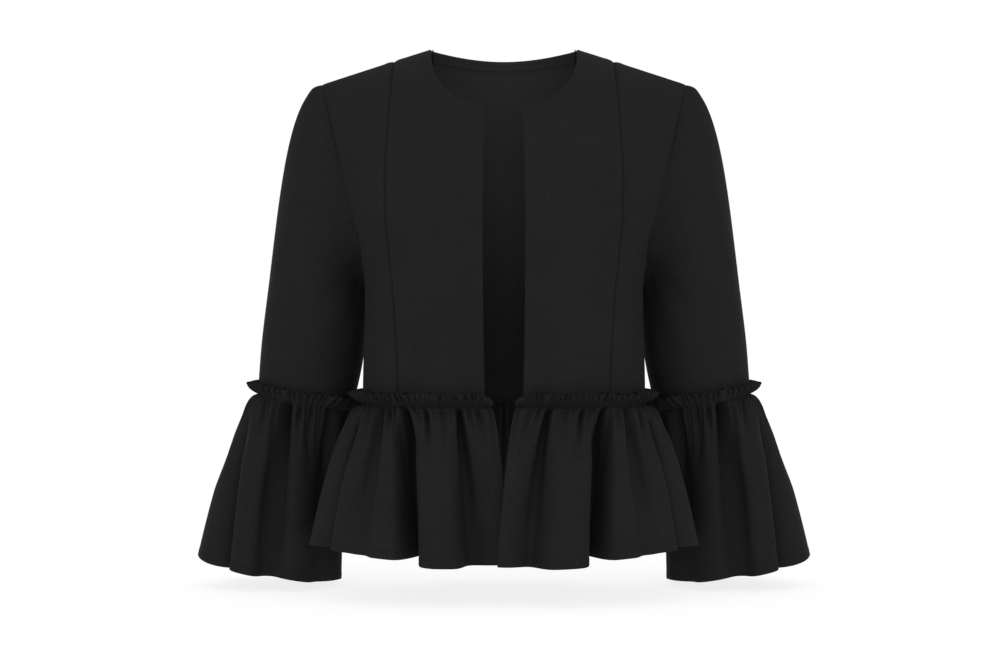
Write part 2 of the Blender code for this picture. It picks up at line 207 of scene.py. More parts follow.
SLEEVE_CREASES = table(
    "turn  height  to_turn to_height depth    width",
    (150, -0.190, 95, -0.235, 0.0016, 9),
    (160, -0.215, 120, -0.275, 0.0014, 9),
    (140, -0.300, 60, -0.270, 0.0012, 12),
    (215, -0.200, 260, -0.240, 0.0018, 10),
    (205, -0.260, 270, -0.290, 0.0016, 12),
    (40, -0.120, 30, -0.300, -0.0010, 14),
    (300, -0.130, 310, -0.290, 0.0012, 14),
)

# Gathered strips: where threads of the hem start at the stitch line, and the large folds, one row a trough
HEADER_INNER_SHARE = 0.60
FOLD_GROWTH = 0.75
CUFF_HEM = {
    "height": -0.5132,
    "across": 0.2500,
    "back": 0.048,
    "half_x": 0.0790,
    "half_y": 0.072,
    "tilt": 10.1,
}
CUFF_BELL = 0.55
CUFF_SAG = table(
    "turn drop",
    (-90, 0.000),
    (-20, -0.002),
    (0, -0.003),
    (46, 0.005),
    (62, 0.001),
    (80, 0.003),
    (100, 0.000),
    (130, 0.000),
    (165, -0.004),
    (200, -0.002),
    (270, 0.000),
)
CUFF_SEATS = table(
    "hem  seat",
    (-32, -51),
    (50, 14),
    (80, 56),
    (112, 88),
    (140, 120),
    (180, 168),
    (240, 232),
    (328, 309),
)
CUFF_FOLDS = table(
    "turn depth  lean   skew    sharp soft  floor",
    (-32, 0.022, 0.006, 0.000, 1.3, 0.15, 0.0),
    (48, 0.031, 0.008, -0.008, 1.5, 0.08, 0.1),
    (92, 0.013, 0.001, 0.000, 1.2, 0.50, 0.0),
    (139, 0.011, 0.001, 0.000, 1.2, 0.45, 0.0),
    (188, 0.014, 0.004, 0.000, 1.3, 0.20, 0.0),
    (236, 0.024, 0.006, 0.004, 1.4, 0.10, 0.0),
    (284, 0.024, 0.006, -0.004, 1.4, 0.12, 0.0),
)
PEPLUM_HEM = {"half": 0.1985, "side": -0.066, "front": 0.090, "back": 0.174}
PEPLUM_FALL = table(
    "turn fall",
    (-4, 0.1535),
    (0, 0.1548),
    (8, 0.1572),
    (15, 0.1572),
    (24, 0.1552),
    (30.5, 0.1512),
    (50, 0.1452),
    (66, 0.1408),
    (80, 0.1400),
    (92, 0.1405),
    (135, 0.1465),
    (180, 0.1525),
)
PEPLUM_BELL = 0.55
PEPLUM_SEATS = table(
    "hem   seat",
    (-4.0, 1.4),
    (-1.5, 4.2),
    (12.0, 19.5),
    (29.4, 41.5),
    (71.0, 75.0),
    (92.0, 91.5),
    (135.0, 135.0),
    (180.0, 180.0),
)
PEPLUM_FOLDS = table(
    "turn depth  lean   skew   sharp soft  floor",
    (-10, 0.010, 0.002, 0.000, 1.2, 0.50, 0.00),
    (7, 0.027, 0.002, 0.000, 1.0, 0.60, 0.00),
    (29.2, 0.062, 0.0065, 0.0015, 2.9, 0.03, 0.40),
    (48, 0.006, 0.000, 0.000, 1.0, 0.60, 0.00),
    (67, 0.034, 0.008, 0.012, 1.5, 0.08, 0.00),
    (92, 0.022, 0.005, 0.004, 1.3, 0.15, 0.00),
    (115, 0.026, 0.007, 0.000, 1.4, 0.12, 0.00),
    (147, 0.034, 0.008, 0.004, 1.6, 0.08, 0.00),
    (180, 0.022, 0.007, 0.000, 1.3, 0.15, 0.00),
)
PEPLUM_FIRST_PHASE = 0.5
PEPLUM_SIDE_PHASE = 5.5
LEFT_LAP = 0.022
LAP_TURN = 20.0

# Longer gathers that run down from the stitch line: where they start, how deep, how far down, how wide
PEPLUM_GATHERS = table(
    "across depth  reach width  drift",
    (0.0290, 0.0040, 0.28, 0.0020, -0.002),
    (0.0370, 0.0036, 0.24, 0.0018, 0.000),
    (0.0470, 0.0240, 0.85, 0.0021, -0.003),
    (0.0560, 0.0046, 0.26, 0.0018, 0.000),
    (0.0640, 0.0050, 0.34, 0.0022, 0.000),
    (0.0805, 0.0140, 0.42, 0.0019, 0.000),
    (0.0880, 0.0060, 0.36, 0.0020, 0.000),
    (0.0915, 0.0044, 0.30, 0.0018, 0.000),
    (0.1030, 0.0260, 1.10, 0.0028, 0.000),
    (0.1110, 0.0044, 0.30, 0.0018, 0.000),
    (0.1160, 0.0060, 0.40, 0.0020, 0.000),
    (0.1235, 0.0170, 0.95, 0.0030, 0.006),
    (0.1335, 0.0056, 0.40, 0.0022, 0.002),
    (0.1395, 0.0076, 0.60, 0.0024, 0.002),
)
CUFF_GATHERS = table(
    "turn depth  reach width  drift",
    (14, 0.0060, 0.45, 0.0022, 0.000),
    (30, 0.0050, 0.36, 0.0020, 0.000),
    (46, 0.0070, 0.36, 0.0022, 0.000),
    (75, 0.0300, 1.25, 0.0046, -0.004),
    (90, 0.0070, 0.40, 0.0022, 0.000),
    (104, 0.0080, 0.45, 0.0024, 0.000),
    (128, 0.0110, 0.90, 0.0044, 0.000),
    (155, 0.0070, 0.50, 0.0030, 0.000),
    (186, 0.0090, 0.60, 0.0028, 0.000),
    (214, 0.0070, 0.45, 0.0022, 0.000),
    (238, 0.0110, 0.80, 0.0030, 0.000),
    (262, 0.0066, 0.40, 0.0022, 0.000),
    (286, 0.0120, 0.85, 0.0032, 0.000),
    (316, 0.0070, 0.45, 0.0022, 0.000),
    (338, 0.0090, 0.60, 0.0026, 0.000),
)

# Small gathers: least and most of the steps between them, of depth, reach, width and drift, and the seeds
GATHER_STEPS = (0.5, 1.6)
GATHER_DEPTHS = (0.45, 1.35)
GATHER_REACHES = (0.14, 0.46)
GATHER_WIDTHS = (0.0011, 0.0019)
GATHER_DRIFTS = (-0.003, 0.003)
CUFF_SEED = 11
PEPLUM_SEED = 23
BEHIND_SEED = 31
CUFF_HEADER_SEED = 40
PEPLUM_HEADER_SEED = 50
RIGHT_SHIFT_SEED = 61
LEFT_SHIFT_SEED = 62
GATHER_SHIFTS = (-0.0012, 0.0012)
SHIFTS_STOP = 0.02
BEHIND_EVERY = 4
BEHIND_TIMES = {"depth": 2.4, "width": 1.7, "reach": 1.9}
GATHER_SPREAD = 2.0
GATHER_LEVEL = 0.35
GATHER_RAMP = 0.035
GATHER_START = 0.25
GATHER_FADE = (1.4, 1.3)
SLOW_LENGTHS = np.array((0.061, 0.037, 0.023, 0.014))
SLOW_SIZES = (0.4, 0.35, 0.3, 0.25)

# Stitch line, turned hem and frilled header; what varies does so by a share of itself
HEM_STEP = 0.0008
HEM_GROOVE = 0.00015
HEM_GROOVE_WIDTH = 0.0007
STITCH_PINCH = 0.0013
PINCH_REACH = 0.020
PUFF_HEIGHT = 0.0016
PUFF_AT = 0.06
CRIMP_ROOT = 0.0003
CRIMP_CURL = 0.0008
CRIMP_GROWTH = 1.4
CRIMP_VARIES = 0.40
CRIMP_LENGTHS = (0.5, 1.5)
FLARE_VARIES = 0.25
RISE_VARIES = 0.12
RISE_WAVE = 0.11
RISE_WAVE_LAG = 0.7
HEADER_DRIFT = 0.0012
HEADER_CURL = 1.20
HEADER_SLANT = 2.4
HEADER_END_DROP = 0.40
HEADER_END_SPREAD = 0.0030
HEADER_END_LENGTH = 0.006
HEADER_END_ARC = (0.18, 0.66)
ROW_CROWDING = 1.5

# Crepe: finer yarn between the pebbles, slow changes of tone, and the stitches of the hem
YARN_FINENESS = 2.7
YARN_SHARE = 0.45
GRAIN_SHADES = (0.66, 1.3)
TONE_SCALE = 21.0
TONE_RANGE = (0.3, 0.7)
TONE_SHADES = (0.93, 1.07)
STITCH_EDGES = (0.0002, 0.0006)
STITCH_PACE = 4200.0
STITCH_SHADE = 0.85
STITCH_SINK = 1.6

# Grid steps
EDGE_STEPS = np.array((0.0, 0.0004, 0.0010, 0.0018, 0.0030, 0.0048, 0.0072))
LOWER_ROWS = 22
ARMHOLE_ROWS = 56
NECK_COLUMNS = 30
SHOULDER_COLUMNS = 9
SIDE_COLUMNS = 34
BACK_NECK_COLUMNS = 22
BACK_SIDE_COLUMNS = 40
FACING_ROWS = 9
CAP_ROWS = 40
ARM_ROWS = 12
CUFF_STEPS = 70
PEPLUM_FRONT_STEPS = 66
PEPLUM_BACK_STEPS = 104
HEM_ROWS = 1 - np.array((0.0, 0.004, 0.012, 0.024, 0.036, 0.044, 0.049, 0.054, 0.061, 0.075))
FLOUNCE_ROWS = 48
HEADER_ROWS = 12

# Stage
FLOOR_REACH = 6.0
FLOOR_LINES = 13
LIGHT_AIM = (0.0, 0.0, -0.25)
SENSOR_WIDTH = 36.0


class CrepeSettings(PropertyGroup):
    """The cloth."""

    colour: FloatVectorProperty(
        name="Colour",
        description="Colour of the crepe",
        subtype="COLOR",
        size=3,
        default=(0.0120, 0.0120, 0.0130),
        min=0.0,
        max=1.0,
    )
    roughness: FloatProperty(
        name="Roughness",
        description="How matte the crepe is",
        subtype="FACTOR",
        default=0.88,
        min=0.0,
        max=1.0,
    )
    sheen: FloatProperty(
        name="Sheen", description="Soft light off the nap", subtype="FACTOR", default=0.01, min=0.0, max=1.0
    )
    pebble_size: FloatProperty(
        name="Pebble size", description="Width of one crepe pebble", unit="LENGTH", default=0.0009, min=0.0002
    )
    pebble_height: FloatProperty(
        name="Pebble height", description="Height of the crepe grain", unit="LENGTH", default=0.00010, min=0.0
    )
    thickness: FloatProperty(
        name="Thickness", description="Thickness of one layer", unit="LENGTH", default=0.0008, min=0.0002
    )
    faced_thickness: FloatProperty(
        name="Faced thickness",
        description="Thickness where an edge is turned over its facing",
        unit="LENGTH",
        default=0.0018,
        min=0.0004,
    )


class SeamSettings(PropertyGroup):
    """The sewn lines of bodice and sleeves."""

    groove_depth: FloatProperty(
        name="Groove depth", description="How far a seam sinks", unit="LENGTH", default=0.0017, min=0.0
    )
    groove_width: FloatProperty(
        name="Groove width",
        description="Half width of a seam's groove",
        unit="LENGTH",
        default=0.0012,
        min=0.0003,
    )
    allowance_lift: FloatProperty(
        name="Allowance lift",
        description="Ridge over the seam allowance",
        unit="LENGTH",
        default=0.0004,
        min=0.0,
    )
    allowance_place: FloatProperty(
        name="Allowance place",
        description="How far that ridge lies from the seam",
        unit="LENGTH",
        default=0.0065,
    )
    pucker_depth: FloatProperty(
        name="Pucker depth",
        description="Height of the small puckers along a seam",
        unit="LENGTH",
        default=0.00012,
    )


class GatherSettings(PropertyGroup):
    """The gathered cuffs and peplum."""

    header_rise: FloatProperty(
        name="Header rise",
        description="Height of the frill above its stitch line",
        unit="LENGTH",
        default=0.0125,
    )
    header_flare: FloatProperty(
        name="Header flare", description="How far the frill leans out", unit="LENGTH", default=0.0085
    )
    crimp_depth: FloatProperty(
        name="Crimp depth",
        description="How far the frill's edge waves in and out",
        unit="LENGTH",
        default=0.0044,
    )
    spacing: FloatProperty(
        name="Gather spacing", description="Distance between small gathers", unit="LENGTH", default=0.0058
    )
    depth: FloatProperty(
        name="Gather depth", description="Depth of the small gathers", unit="LENGTH", default=0.0042
    )
    hem: FloatProperty(name="Hem", description="Depth of the narrow turned hem", unit="LENGTH", default=0.008)
    hem_lift: FloatProperty(
        name="Hem lift", description="How far the doubled hem stands proud", unit="LENGTH", default=0.0002
    )


class StageSettings(PropertyGroup):
    """Floor, light and camera."""

    floor_height: FloatProperty(
        name="Floor height", description="Height of the floor", unit="LENGTH", default=-0.531
    )
    floor_colour: FloatVectorProperty(
        name="Floor colour",
        description="Colour of the floor",
        subtype="COLOR",
        size=3,
        default=(0.20, 0.20, 0.20),
    )
    floor_glow: FloatProperty(
        name="Floor glow",
        description="Light off the pale floor, which keeps shadows faint",
        default=0.82,
        min=0.0,
    )
    surround: FloatProperty(
        name="Surround", description="Brightness of the white surround", default=1.0, min=0.0
    )
    front_power: FloatProperty(
        name="Front light",
        description="Power of the light above the camera",
        unit="POWER",
        default=12.0,
        min=0.0,
    )
    side_power: FloatProperty(
        name="Side lights", description="Power of each side light", unit="POWER", default=4.0, min=0.0
    )
    top_power: FloatProperty(
        name="Top light", description="Power of the light overhead", unit="POWER", default=4.0, min=0.0
    )
    neck_power: FloatProperty(
        name="Neck light",
        description="Power of the small light that shows the inside",
        unit="POWER",
        default=0.14,
    )
    camera_distance: FloatProperty(
        name="Camera distance", description="Distance in front of the shoulders", unit="LENGTH", default=2.1
    )
    camera_height: FloatProperty(
        name="Camera height", description="Height of the lens", unit="LENGTH", default=-0.264
    )
    lens: FloatProperty(name="Lens", description="Focal length in millimetres", default=71.43, min=1.0)


def smooth(at, places, values):
    """A cubic curve through a table's rows, level beyond its ends."""
    at = np.clip(at, places[0], places[-1])
    slopes = np.gradient(values, places)
    row = np.clip(np.searchsorted(places, at) - 1, 0, len(places) - 2)
    span = places[row + 1] - places[row]
    s = (at - places[row]) / span
    start = values[row] * (1 + 2 * s) * (1 - s) ** 2 + slopes[row] * span * s * (1 - s) ** 2
    end = values[row + 1] * s**2 * (3 - 2 * s) - slopes[row + 1] * span * s**2 * (1 - s)
    return start + end


def unit(vectors):
    """The vectors at length one."""
    return vectors / np.maximum(np.linalg.norm(vectors, axis=-1, keepdims=True), 1e-9)


def points(x, y, z):
    """Three arrays as one array of points."""
    return np.stack(np.broadcast_arrays(x, y, z), axis=-1)


def mirrored(grid):
    """The same points on the other side of the centre line."""
    return grid * np.array((-1.0, 1.0, 1.0))


def bump(distance, width):
    """A bell curve: one at distance nought, falling away over the width."""
    return np.exp(-((distance / width) ** 2))


def walked(grid, axis, from_end=False):
    """Distance along a grid's lines from their start, or from their end."""
    if from_end:
        return np.flip(walked(np.flip(grid, axis), axis), axis)
    steps = np.linalg.norm(np.diff(grid, axis=axis), axis=-1)
    first = np.zeros_like(np.take(steps, [0], axis=axis))
    return np.concatenate([first, np.cumsum(steps, axis=axis)], axis=axis)


def sheet_normals(grid, closed=False):
    """Unit normals of a grid: its column step crossed with its row step."""
    wide = np.concatenate([grid[:, -1:], grid, grid[:, :1]], axis=1) if closed else grid
    up = np.gradient(wide, axis=0)
    along = np.gradient(wide, axis=1)
    normals = unit(np.cross(along, up))
    return normals[:, 1:-1] if closed else normals


def outward_normals(grid, closed=False):
    """Normals of a ring-shaped sheet, turned to point away from its middle."""
    normals = sheet_normals(grid, closed)
    middle = grid.mean(axis=(0, 1)) if closed else np.array((0.0, 0.0, grid[..., 2].mean()))
    level = (grid - middle) * np.array((1.0, 1.0, 0.0))
    return normals if np.sum(normals * level) > 0 else -normals


def creased(first, second, creases, names):
    """Depth of soft creases over two coordinates: a bell curve across each line, fading at its ends."""
    start_first, start_second, end_first, end_second = (creases[name] for name in names)
    run_first = end_first - start_first
    run_second = end_second - start_second
    length = np.maximum(run_first**2 + run_second**2, 1e-12)
    off_first = first[..., None] - start_first
    off_second = second[..., None] - start_second
    share = (off_first * run_first + off_second * run_second) / length
    beyond = np.maximum(np.abs(share - 0.5) - CREASE_MIDDLE, 0.0)
    across = (off_first * run_second - off_second * run_first) / np.sqrt(length)
    return (creases["depth"] * bump(across, creases["width"]) * bump(beyond, CREASE_FADE)).sum(axis=-1)


def shoulder_height(x):
    """Height of the shoulder line, and of the crown it would make across the open neck."""
    x = np.abs(x)
    slope = NECK_POINT * (SHOULDER_X - x) / (SHOULDER_X - NECK_X)
    crown = NECK_POINT + NECK_CROWN * (1 - (x / NECK_X) ** 2)
    return np.where(x < NECK_X, crown, slope)


def half_width(z):
    """Half width of the figure at a height."""
    return smooth(z, WIDTHS["height"], WIDTHS["half"])


def body(x, z, face):
    """Points of the bodice: a rounded section at each height, rolling over at the shoulder line."""
    drop = np.maximum(shoulder_height(x) - z, 0.0)
    places = np.sqrt(DEPTHS["drop"])
    reach = smooth(np.sqrt(drop), places, DEPTHS["front" if face < 0 else "back"])
    side = smooth(np.sqrt(drop), places, DEPTHS["side"])
    across = np.clip(np.abs(x) / half_width(z), 0.0, 1.0)
    level = (1 - across**ROUNDNESS) ** (1 / ROUNDNESS)
    return points(x, side + face * reach * level, z)


def outer_edge(z):
    """Side seam below the armhole, armhole seam above it."""
    return np.where(z < UNDERARM, half_width(z), smooth(z, ARMHOLE["height"], ARMHOLE["across"]))


def front_line(z, line):
    """Distance of the front edge or the princess seam from the centre line."""
    return smooth(z, FRONT_LINES["height"], FRONT_LINES[line])


def panel_heights(tops):
    """Heights from the waist to each column's top, close together at the armhole's foot and the shoulder."""
    lower = np.linspace(WAIST, UNDERARM, LOWER_ROWS + 1)[:-1]
    rise = (1 - np.cos(np.pi * np.linspace(0, 1, ARMHOLE_ROWS + 1))) / 2
    upper = UNDERARM + rise[:, None] * (tops - UNDERARM)
    return np.concatenate([np.repeat(lower[:, None], len(tops), axis=1), upper])


def seam_normals(normals, neck_column):
    """Normals made common to front and back: straight off the shoulder line, and straight out at the side."""
    slope = NECK_POINT / (SHOULDER_X - NECK_X)
    normals = normals.copy()
    normals[-1, neck_column:] = unit(np.array((slope, 0.0, 1.0)))
    normals[: LOWER_ROWS + 1, -1] = (1.0, 0.0, 0.0)
    return normals


def seam_roll(distance, along, seams):
    """Inward depth near a seam: a groove at it, a low ridge over its allowance, and small uneven puckers."""
    groove = seams.groove_depth * bump(distance, seams.groove_width)
    place = seams.allowance_place
    ridge = seams.allowance_lift * bump(distance - place, ALLOWANCE_SHARE * place)
    waves = sum(np.sin(along * pace + start) for pace, start in PUCKER_WAVES)
    return groove - ridge + seams.pucker_depth * waves * bump(distance, PUCKER_REACH)


def armhole_sink(z):
    """Share of a seam's roll along the outer edge: slight at side, underarm and shoulder, more between."""
    above = np.clip((z - UNDERARM) / ARMHOLE_SINK_IN - SINK_FROM_UNDERARM, 0, 1)
    below = np.clip(-z / ARMHOLE_SINK_IN + SINK_TO_SHOULDER, 0, 1)
    return SIDE_SINK + (ARMHOLE_SINK - SIDE_SINK) * (above * below) ** 2 * (3 - 2 * above * below)


def shoulder_share(top_x):
    """How far the shoulder seam's roll has come up at each column: nought on the neck, full beyond it."""
    share = np.clip((np.abs(top_x) - NECK_X) / NECK_ROLL_IN, 0, 1)
    return share**2 * (3 - 2 * share)


def front_columns():
    """Tops of the right front's columns: round the neck, along the shoulder to the princess seam and past it.

    The neck is a quarter of a rounded square from the open edge to the shoulder's neck point.
    """
    neck_edge = front_line(FRONT_NECK, "edge")
    span = NECK_X - neck_edge
    power = 2 / NECK_ROUNDNESS
    first = np.arcsin((EDGE_STEPS / span) ** (1 / power))
    angle = np.concatenate([first, np.linspace(first[-1], np.pi / 2, NECK_COLUMNS + 1)[1:]])
    neck_x = neck_edge + span * np.sin(angle) ** power
    neck_z = NECK_POINT - (NECK_POINT - FRONT_NECK) * np.maximum(np.cos(angle), 0) ** power
    seam_x = FRONT_LINES["princess"][-1]
    shoulder_x = np.linspace(NECK_X, seam_x - EDGE_STEPS[-1], SHOULDER_COLUMNS)[1:-1]
    inner_x = np.concatenate([shoulder_x, seam_x - EDGE_STEPS[::-1]])
    centre_x = np.concatenate([neck_x, inner_x])
    centre_top = np.concatenate([neck_z, shoulder_height(inner_x)])
    first_share = EDGE_STEPS / (SHOULDER_X - seam_x)
    turn = np.linspace(np.arcsin(first_share[-1]), np.pi / 2, SIDE_COLUMNS + 1)[1:]
    side_x = seam_x + (SHOULDER_X - seam_x) * np.concatenate([first_share, np.sin(turn)])
    return centre_x, centre_top, side_x, shoulder_height(side_x), len(neck_x) - 1


def front_panels(seams):
    """Right centre front and side front, each as grid and normals, with their sunk seams and creases."""
    centre_x, centre_top, side_x, side_top, neck_column = front_columns()
    edge = front_line(centre_top, "edge")
    centre_share = (centre_x - edge) / (front_line(centre_top, "princess") - edge)
    seam = front_line(side_top, "princess")
    side_share = (side_x - seam) / (outer_edge(side_top) - seam)

    centre_z = panel_heights(centre_top)
    side_z = panel_heights(side_top)
    edge = front_line(centre_z, "edge")
    centre = body(edge + centre_share * (front_line(centre_z, "princess") - edge), centre_z, -1)
    seam = front_line(side_z, "princess")
    side = body(seam + side_share * (outer_edge(side_z) - seam), side_z, -1)
    whole = np.concatenate([centre, side[:, 1:]], axis=1)
    normals = seam_normals(sheet_normals(whole), neck_column)
    last = centre.shape[1]

    depth = creased(centre[..., 0], centre[..., 2], FRONT_CREASES, CREASE_ENDS)
    depth += seam_roll(walked(centre, 1, from_end=True), centre_z, seams)
    sewn = shoulder_share(centre_x) * SHOULDER_SINK
    depth += seam_roll(walked(centre, 0, from_end=True), 0.0, seams) * sewn
    depth += EDGE_ROLL * bump(walked(centre, 1), EDGE_ROLL_WIDTH)
    depth += EDGE_ROLL * bump(walked(centre, 0, from_end=True), EDGE_ROLL_WIDTH) * (centre_x < NECK_X)
    centre_normals = normals[:, :last]
    centre = inset(centre) - depth[..., None] * centre_normals

    depth = creased(side[..., 0], side[..., 2], FRONT_CREASES, CREASE_ENDS)
    depth += seam_roll(walked(side, 1), side_z, seams)
    depth += seam_roll(walked(side, 1, from_end=True), side_z, seams) * armhole_sink(side_z)
    depth += seam_roll(walked(side, 0, from_end=True), 0.0, seams) * SHOULDER_SINK
    side_normals = normals[:, last - 1 :]
    side = inset(side) - depth[..., None] * side_normals
    return (centre, centre_normals), (side, side_normals)


def inset(grid):
    """The grid with its four edges drawn in by half a seam gap."""
    grid = grid.copy()
    for edge, inner in ((0, 1), (-1, -2)):
        grid[edge] += unit(grid[inner] - grid[edge]) * SEAM_GAP / 2
        grid[:, edge] += unit(grid[:, inner] - grid[:, edge]) * SEAM_GAP / 2
    return grid


def back_columns():
    """Tops of the right half of the back: from the centre round the neck, then along the shoulder."""
    angle = np.linspace(0, np.pi / 2, BACK_NECK_COLUMNS + 1)
    neck_x = NECK_X * np.sin(angle)
    neck_z = NECK_POINT - (NECK_POINT - BACK_NECK) * (1 - (neck_x / NECK_X) ** 2) ** BACK_NECK_CURVE
    turn = np.linspace(0, np.pi / 2, BACK_SIDE_COLUMNS + 1)[1:]
    outer_x = NECK_X + (SHOULDER_X - NECK_X) * np.sin(turn)
    return np.concatenate([neck_x, outer_x]), np.concatenate([neck_z, shoulder_height(outer_x)])


def half_back_normals(grid):
    """Normals of the back's right half: common to the front at the seams, and level on the centre line."""
    normals = seam_normals(-sheet_normals(grid), BACK_NECK_COLUMNS)
    normals[:, 0, 0] = 0.0
    return unit(normals)


def back_panel(seams):
    """Right half of the back as grid and normals, with its sunk seams and creases."""
    top_x, tops = back_columns()
    heights = panel_heights(tops)
    plain = body(top_x / outer_edge(tops) * outer_edge(heights), heights, 1)
    normals = half_back_normals(plain)
    sewn = shoulder_share(top_x) * SHOULDER_SINK
    depth = creased(plain[..., 0], plain[..., 2], BACK_CREASES, CREASE_ENDS)
    depth += seam_roll(walked(plain, 1, from_end=True), heights, seams) * armhole_sink(heights)
    depth += seam_roll(walked(plain, 0, from_end=True), 0.0, seams) * sewn
    depth += EDGE_ROLL * bump(walked(plain, 0, from_end=True), EDGE_ROLL_WIDTH) * (top_x < NECK_X)
    return plain - depth[..., None] * normals, normals


def both_halves(right):
    """A half that starts on the centre line, with its mirror image joined on."""
    return np.concatenate([mirrored(right)[:, :0:-1], right], axis=1)


def facing_band(crepe):
    """Band inside the back neck: the back's own surface from its edge down, moved in behind the cloth."""
    top_x, tops = back_columns()
    neck = slice(0, BACK_NECK_COLUMNS + 1)
    top_x = top_x[neck]
    tops = tops[neck]
    heights = tops - FACING_DEPTH * np.linspace(1, 0, FACING_ROWS + 1)[:, None]
    grid = body(top_x / outer_edge(tops) * outer_edge(heights), heights, 1)
    normals = half_back_normals(grid)
    moved = grid - normals * (crepe.faced_thickness + SEAM_GAP)
    return both_halves(moved), both_halves(normals)


def ellipse(turn, across, back, height, half_x, half_y, tilt):
    """Ring around the right arm, turning from its outer side to its front; the tilt raises the outer side."""
    out = half_x * np.cos(turn)
    lean = np.radians(tilt)
    return points(across + out * np.cos(lean), back - half_y * np.sin(turn), height + out * np.sin(lean))


def ring_row(rings, row):
    """One row of a table of rings."""
    return {name: column[row] for name, column in rings.items()}


def hermite(start, end, leave, arrive, s):
    """Point at share s of a cubic that leaves and arrives with the given tangents."""
    first = start * (1 + 2 * s) * (1 - s) ** 2 + leave * s * (1 - s) ** 2
    return first + end * s**2 * (3 - 2 * s) - arrive * s**2 * (1 - s)


def armhole_loop(front, back):
    """What front and back hold along the right armhole, from the shoulder point round by the front."""
    return np.concatenate([front[:LOWER_ROWS:-1, -1], back[LOWER_ROWS:-1, -1]])


def sleeve_sheet(loop, off_body):
    """Right sleeve: cubics that leave the armhole, round over the cap and run down through three rings.

    The cap stands up beside its seam by its ease. The sleeve falls back beside the seam in front of the armpit
    and behind it, but keeps close to the body right under the arm. Soft creases lie across the arm; for them a
    millimetre of height counts as one degree round it.
    """
    steps = np.linalg.norm(np.diff(loop, axis=0, append=loop[:1]), axis=1)
    length_round = np.concatenate([[0.0], np.cumsum(steps)])
    halves = (0.0, length_round[ARMHOLE_ROWS], length_round[-1])
    turn = np.interp(length_round[:-1], halves, (0.0, np.pi, 2 * np.pi))
    lift = (np.cos(turn / 2) ** 2)[:, None]
    outwards = np.array((1.0, 0.0, -CAP_FALL))
    down = points(0.0, -CAP_FORWARD * np.sin(turn), -np.ones_like(turn))
    from_underarm = np.abs(np.degrees(turn) - 180)
    out = smooth(from_underarm, CAP_OUT["turn"], CAP_OUT["out"])[:, None]
    leave = unit(lift * outwards + (1 - lift) * (down + out * off_body))
    start = loop + leave * ARMHOLE_GAP
    bicep, elbow, wrist = (ellipse(turn, **ring_row(SLEEVE_RINGS, row)) for row in range(3))
    length = np.linalg.norm(bicep - start, axis=-1, keepdims=True)
    arrive = unit(elbow - bicep) * length * SLEEVE_ARRIVES
    bend = (wrist - bicep) / 2
    cap_share = (np.linspace(0, 1, CAP_ROWS + 1)[:-1] ** CAP_CROWDING)[:, None, None]
    arm_share = np.linspace(0, 1, ARM_ROWS + 1)[:-1, None, None]
    grid = np.concatenate(
        [
            hermite(start, bicep, leave * length * SLEEVE_LEAVES, arrive, cap_share),
            hermite(bicep, elbow, elbow - bicep, bend, arm_share),
            hermite(elbow, wrist, bend, wrist - elbow, arm_share),
            wrist[None],
        ]
    )
    normals = outward_normals(grid, closed=True)
    from_seam = walked(grid, 0)
    cap = np.cos(turn / 2) ** 4
    depth = -CAP_EASE * cap * bump(from_seam - CAP_EASE_AT, CAP_EASE_WIDTH)
    degrees = np.broadcast_to(np.degrees(turn), from_seam.shape)
    low = smooth(from_underarm, ARMPIT["turn"], ARMPIT["share"])
    for fall, reach in ((ARMPIT_FALL, ARMPIT_FALL_AT), (ARMPIT_TUCK, ARMPIT_TUCK_AT)):
        depth += fall * low * from_seam / reach * np.exp(1 - from_seam / reach)
    ends = ("turn", "height", "to_turn", "to_height")
    scaled = dict(SLEEVE_CREASES)
    for name in ("height", "to_height"):
        scaled[name] = SLEEVE_CREASES[name] * MILLIMETRES
    depth += creased(degrees, grid[..., 2] * MILLIMETRES, scaled, ends)
    grid = grid - depth[..., None] * normals
    return grid, outward_normals(grid, closed=True)


def ring_directions(ring, closed):
    """Level tangents along a ring, and the level directions that point out of it."""
    wide = np.concatenate([ring[-1:], ring, ring[:1]]) if closed else ring
    along = np.gradient(wide, axis=0)
    along = along[1:-1] if closed else along
    along = unit(along * np.array((1.0, 1.0, 0.0)))
    out = points(-along[:, 1], along[:, 0], np.zeros(len(along)))
    if np.sum(out * (ring - ring.mean(axis=0))) < 0:
        out = -out
    return along, out


def flounce(stitch, hem, phase, folds, bell, shares, closed):
    """Bell from the stitch ring to the hem ring, with large folds that grow towards the hem.

    The level part of the way to the hem goes as the share to the power bell, the fall goes straight. Troughs
    lie at whole phases. A fold moves a point in by its depth times one less the sine of half the phase's turn,
    rounded at the trough by its softness, level there over its floor's share, and raised to its sharpness. It
    moves the point towards the trough by its lean times the sine of the whole turn, and the trough sideways by
    its skew. All this goes as the share to the power FOLD_GROWTH.
    """
    along, out = ring_directions(hem, closed)
    wave = 2 * np.pi * phase[:, None]
    trough = (1 + np.cos(wave)) / 2
    soft = folds["soft"][:, None]
    floor = folds["floor"][:, None]
    off = (np.hypot(np.sin(wave / 2), soft) - soft) / (np.hypot(1, soft) - soft)
    off = (off - floor) / (1 - floor)
    inwards = folds["depth"][:, None] * np.clip(1 - off, 0, 1) ** folds["sharp"][:, None]
    sideways = folds["lean"][:, None] * np.sin(wave) + folds["skew"][:, None] * trough
    share = shares[:, None, None]
    level = np.array((1.0, 1.0, 0.0))
    path = stitch + (hem - stitch) * (level * share**bell + (1 - level) * share)
    return path - (out * inwards + along * sideways) * share**FOLD_GROWTH


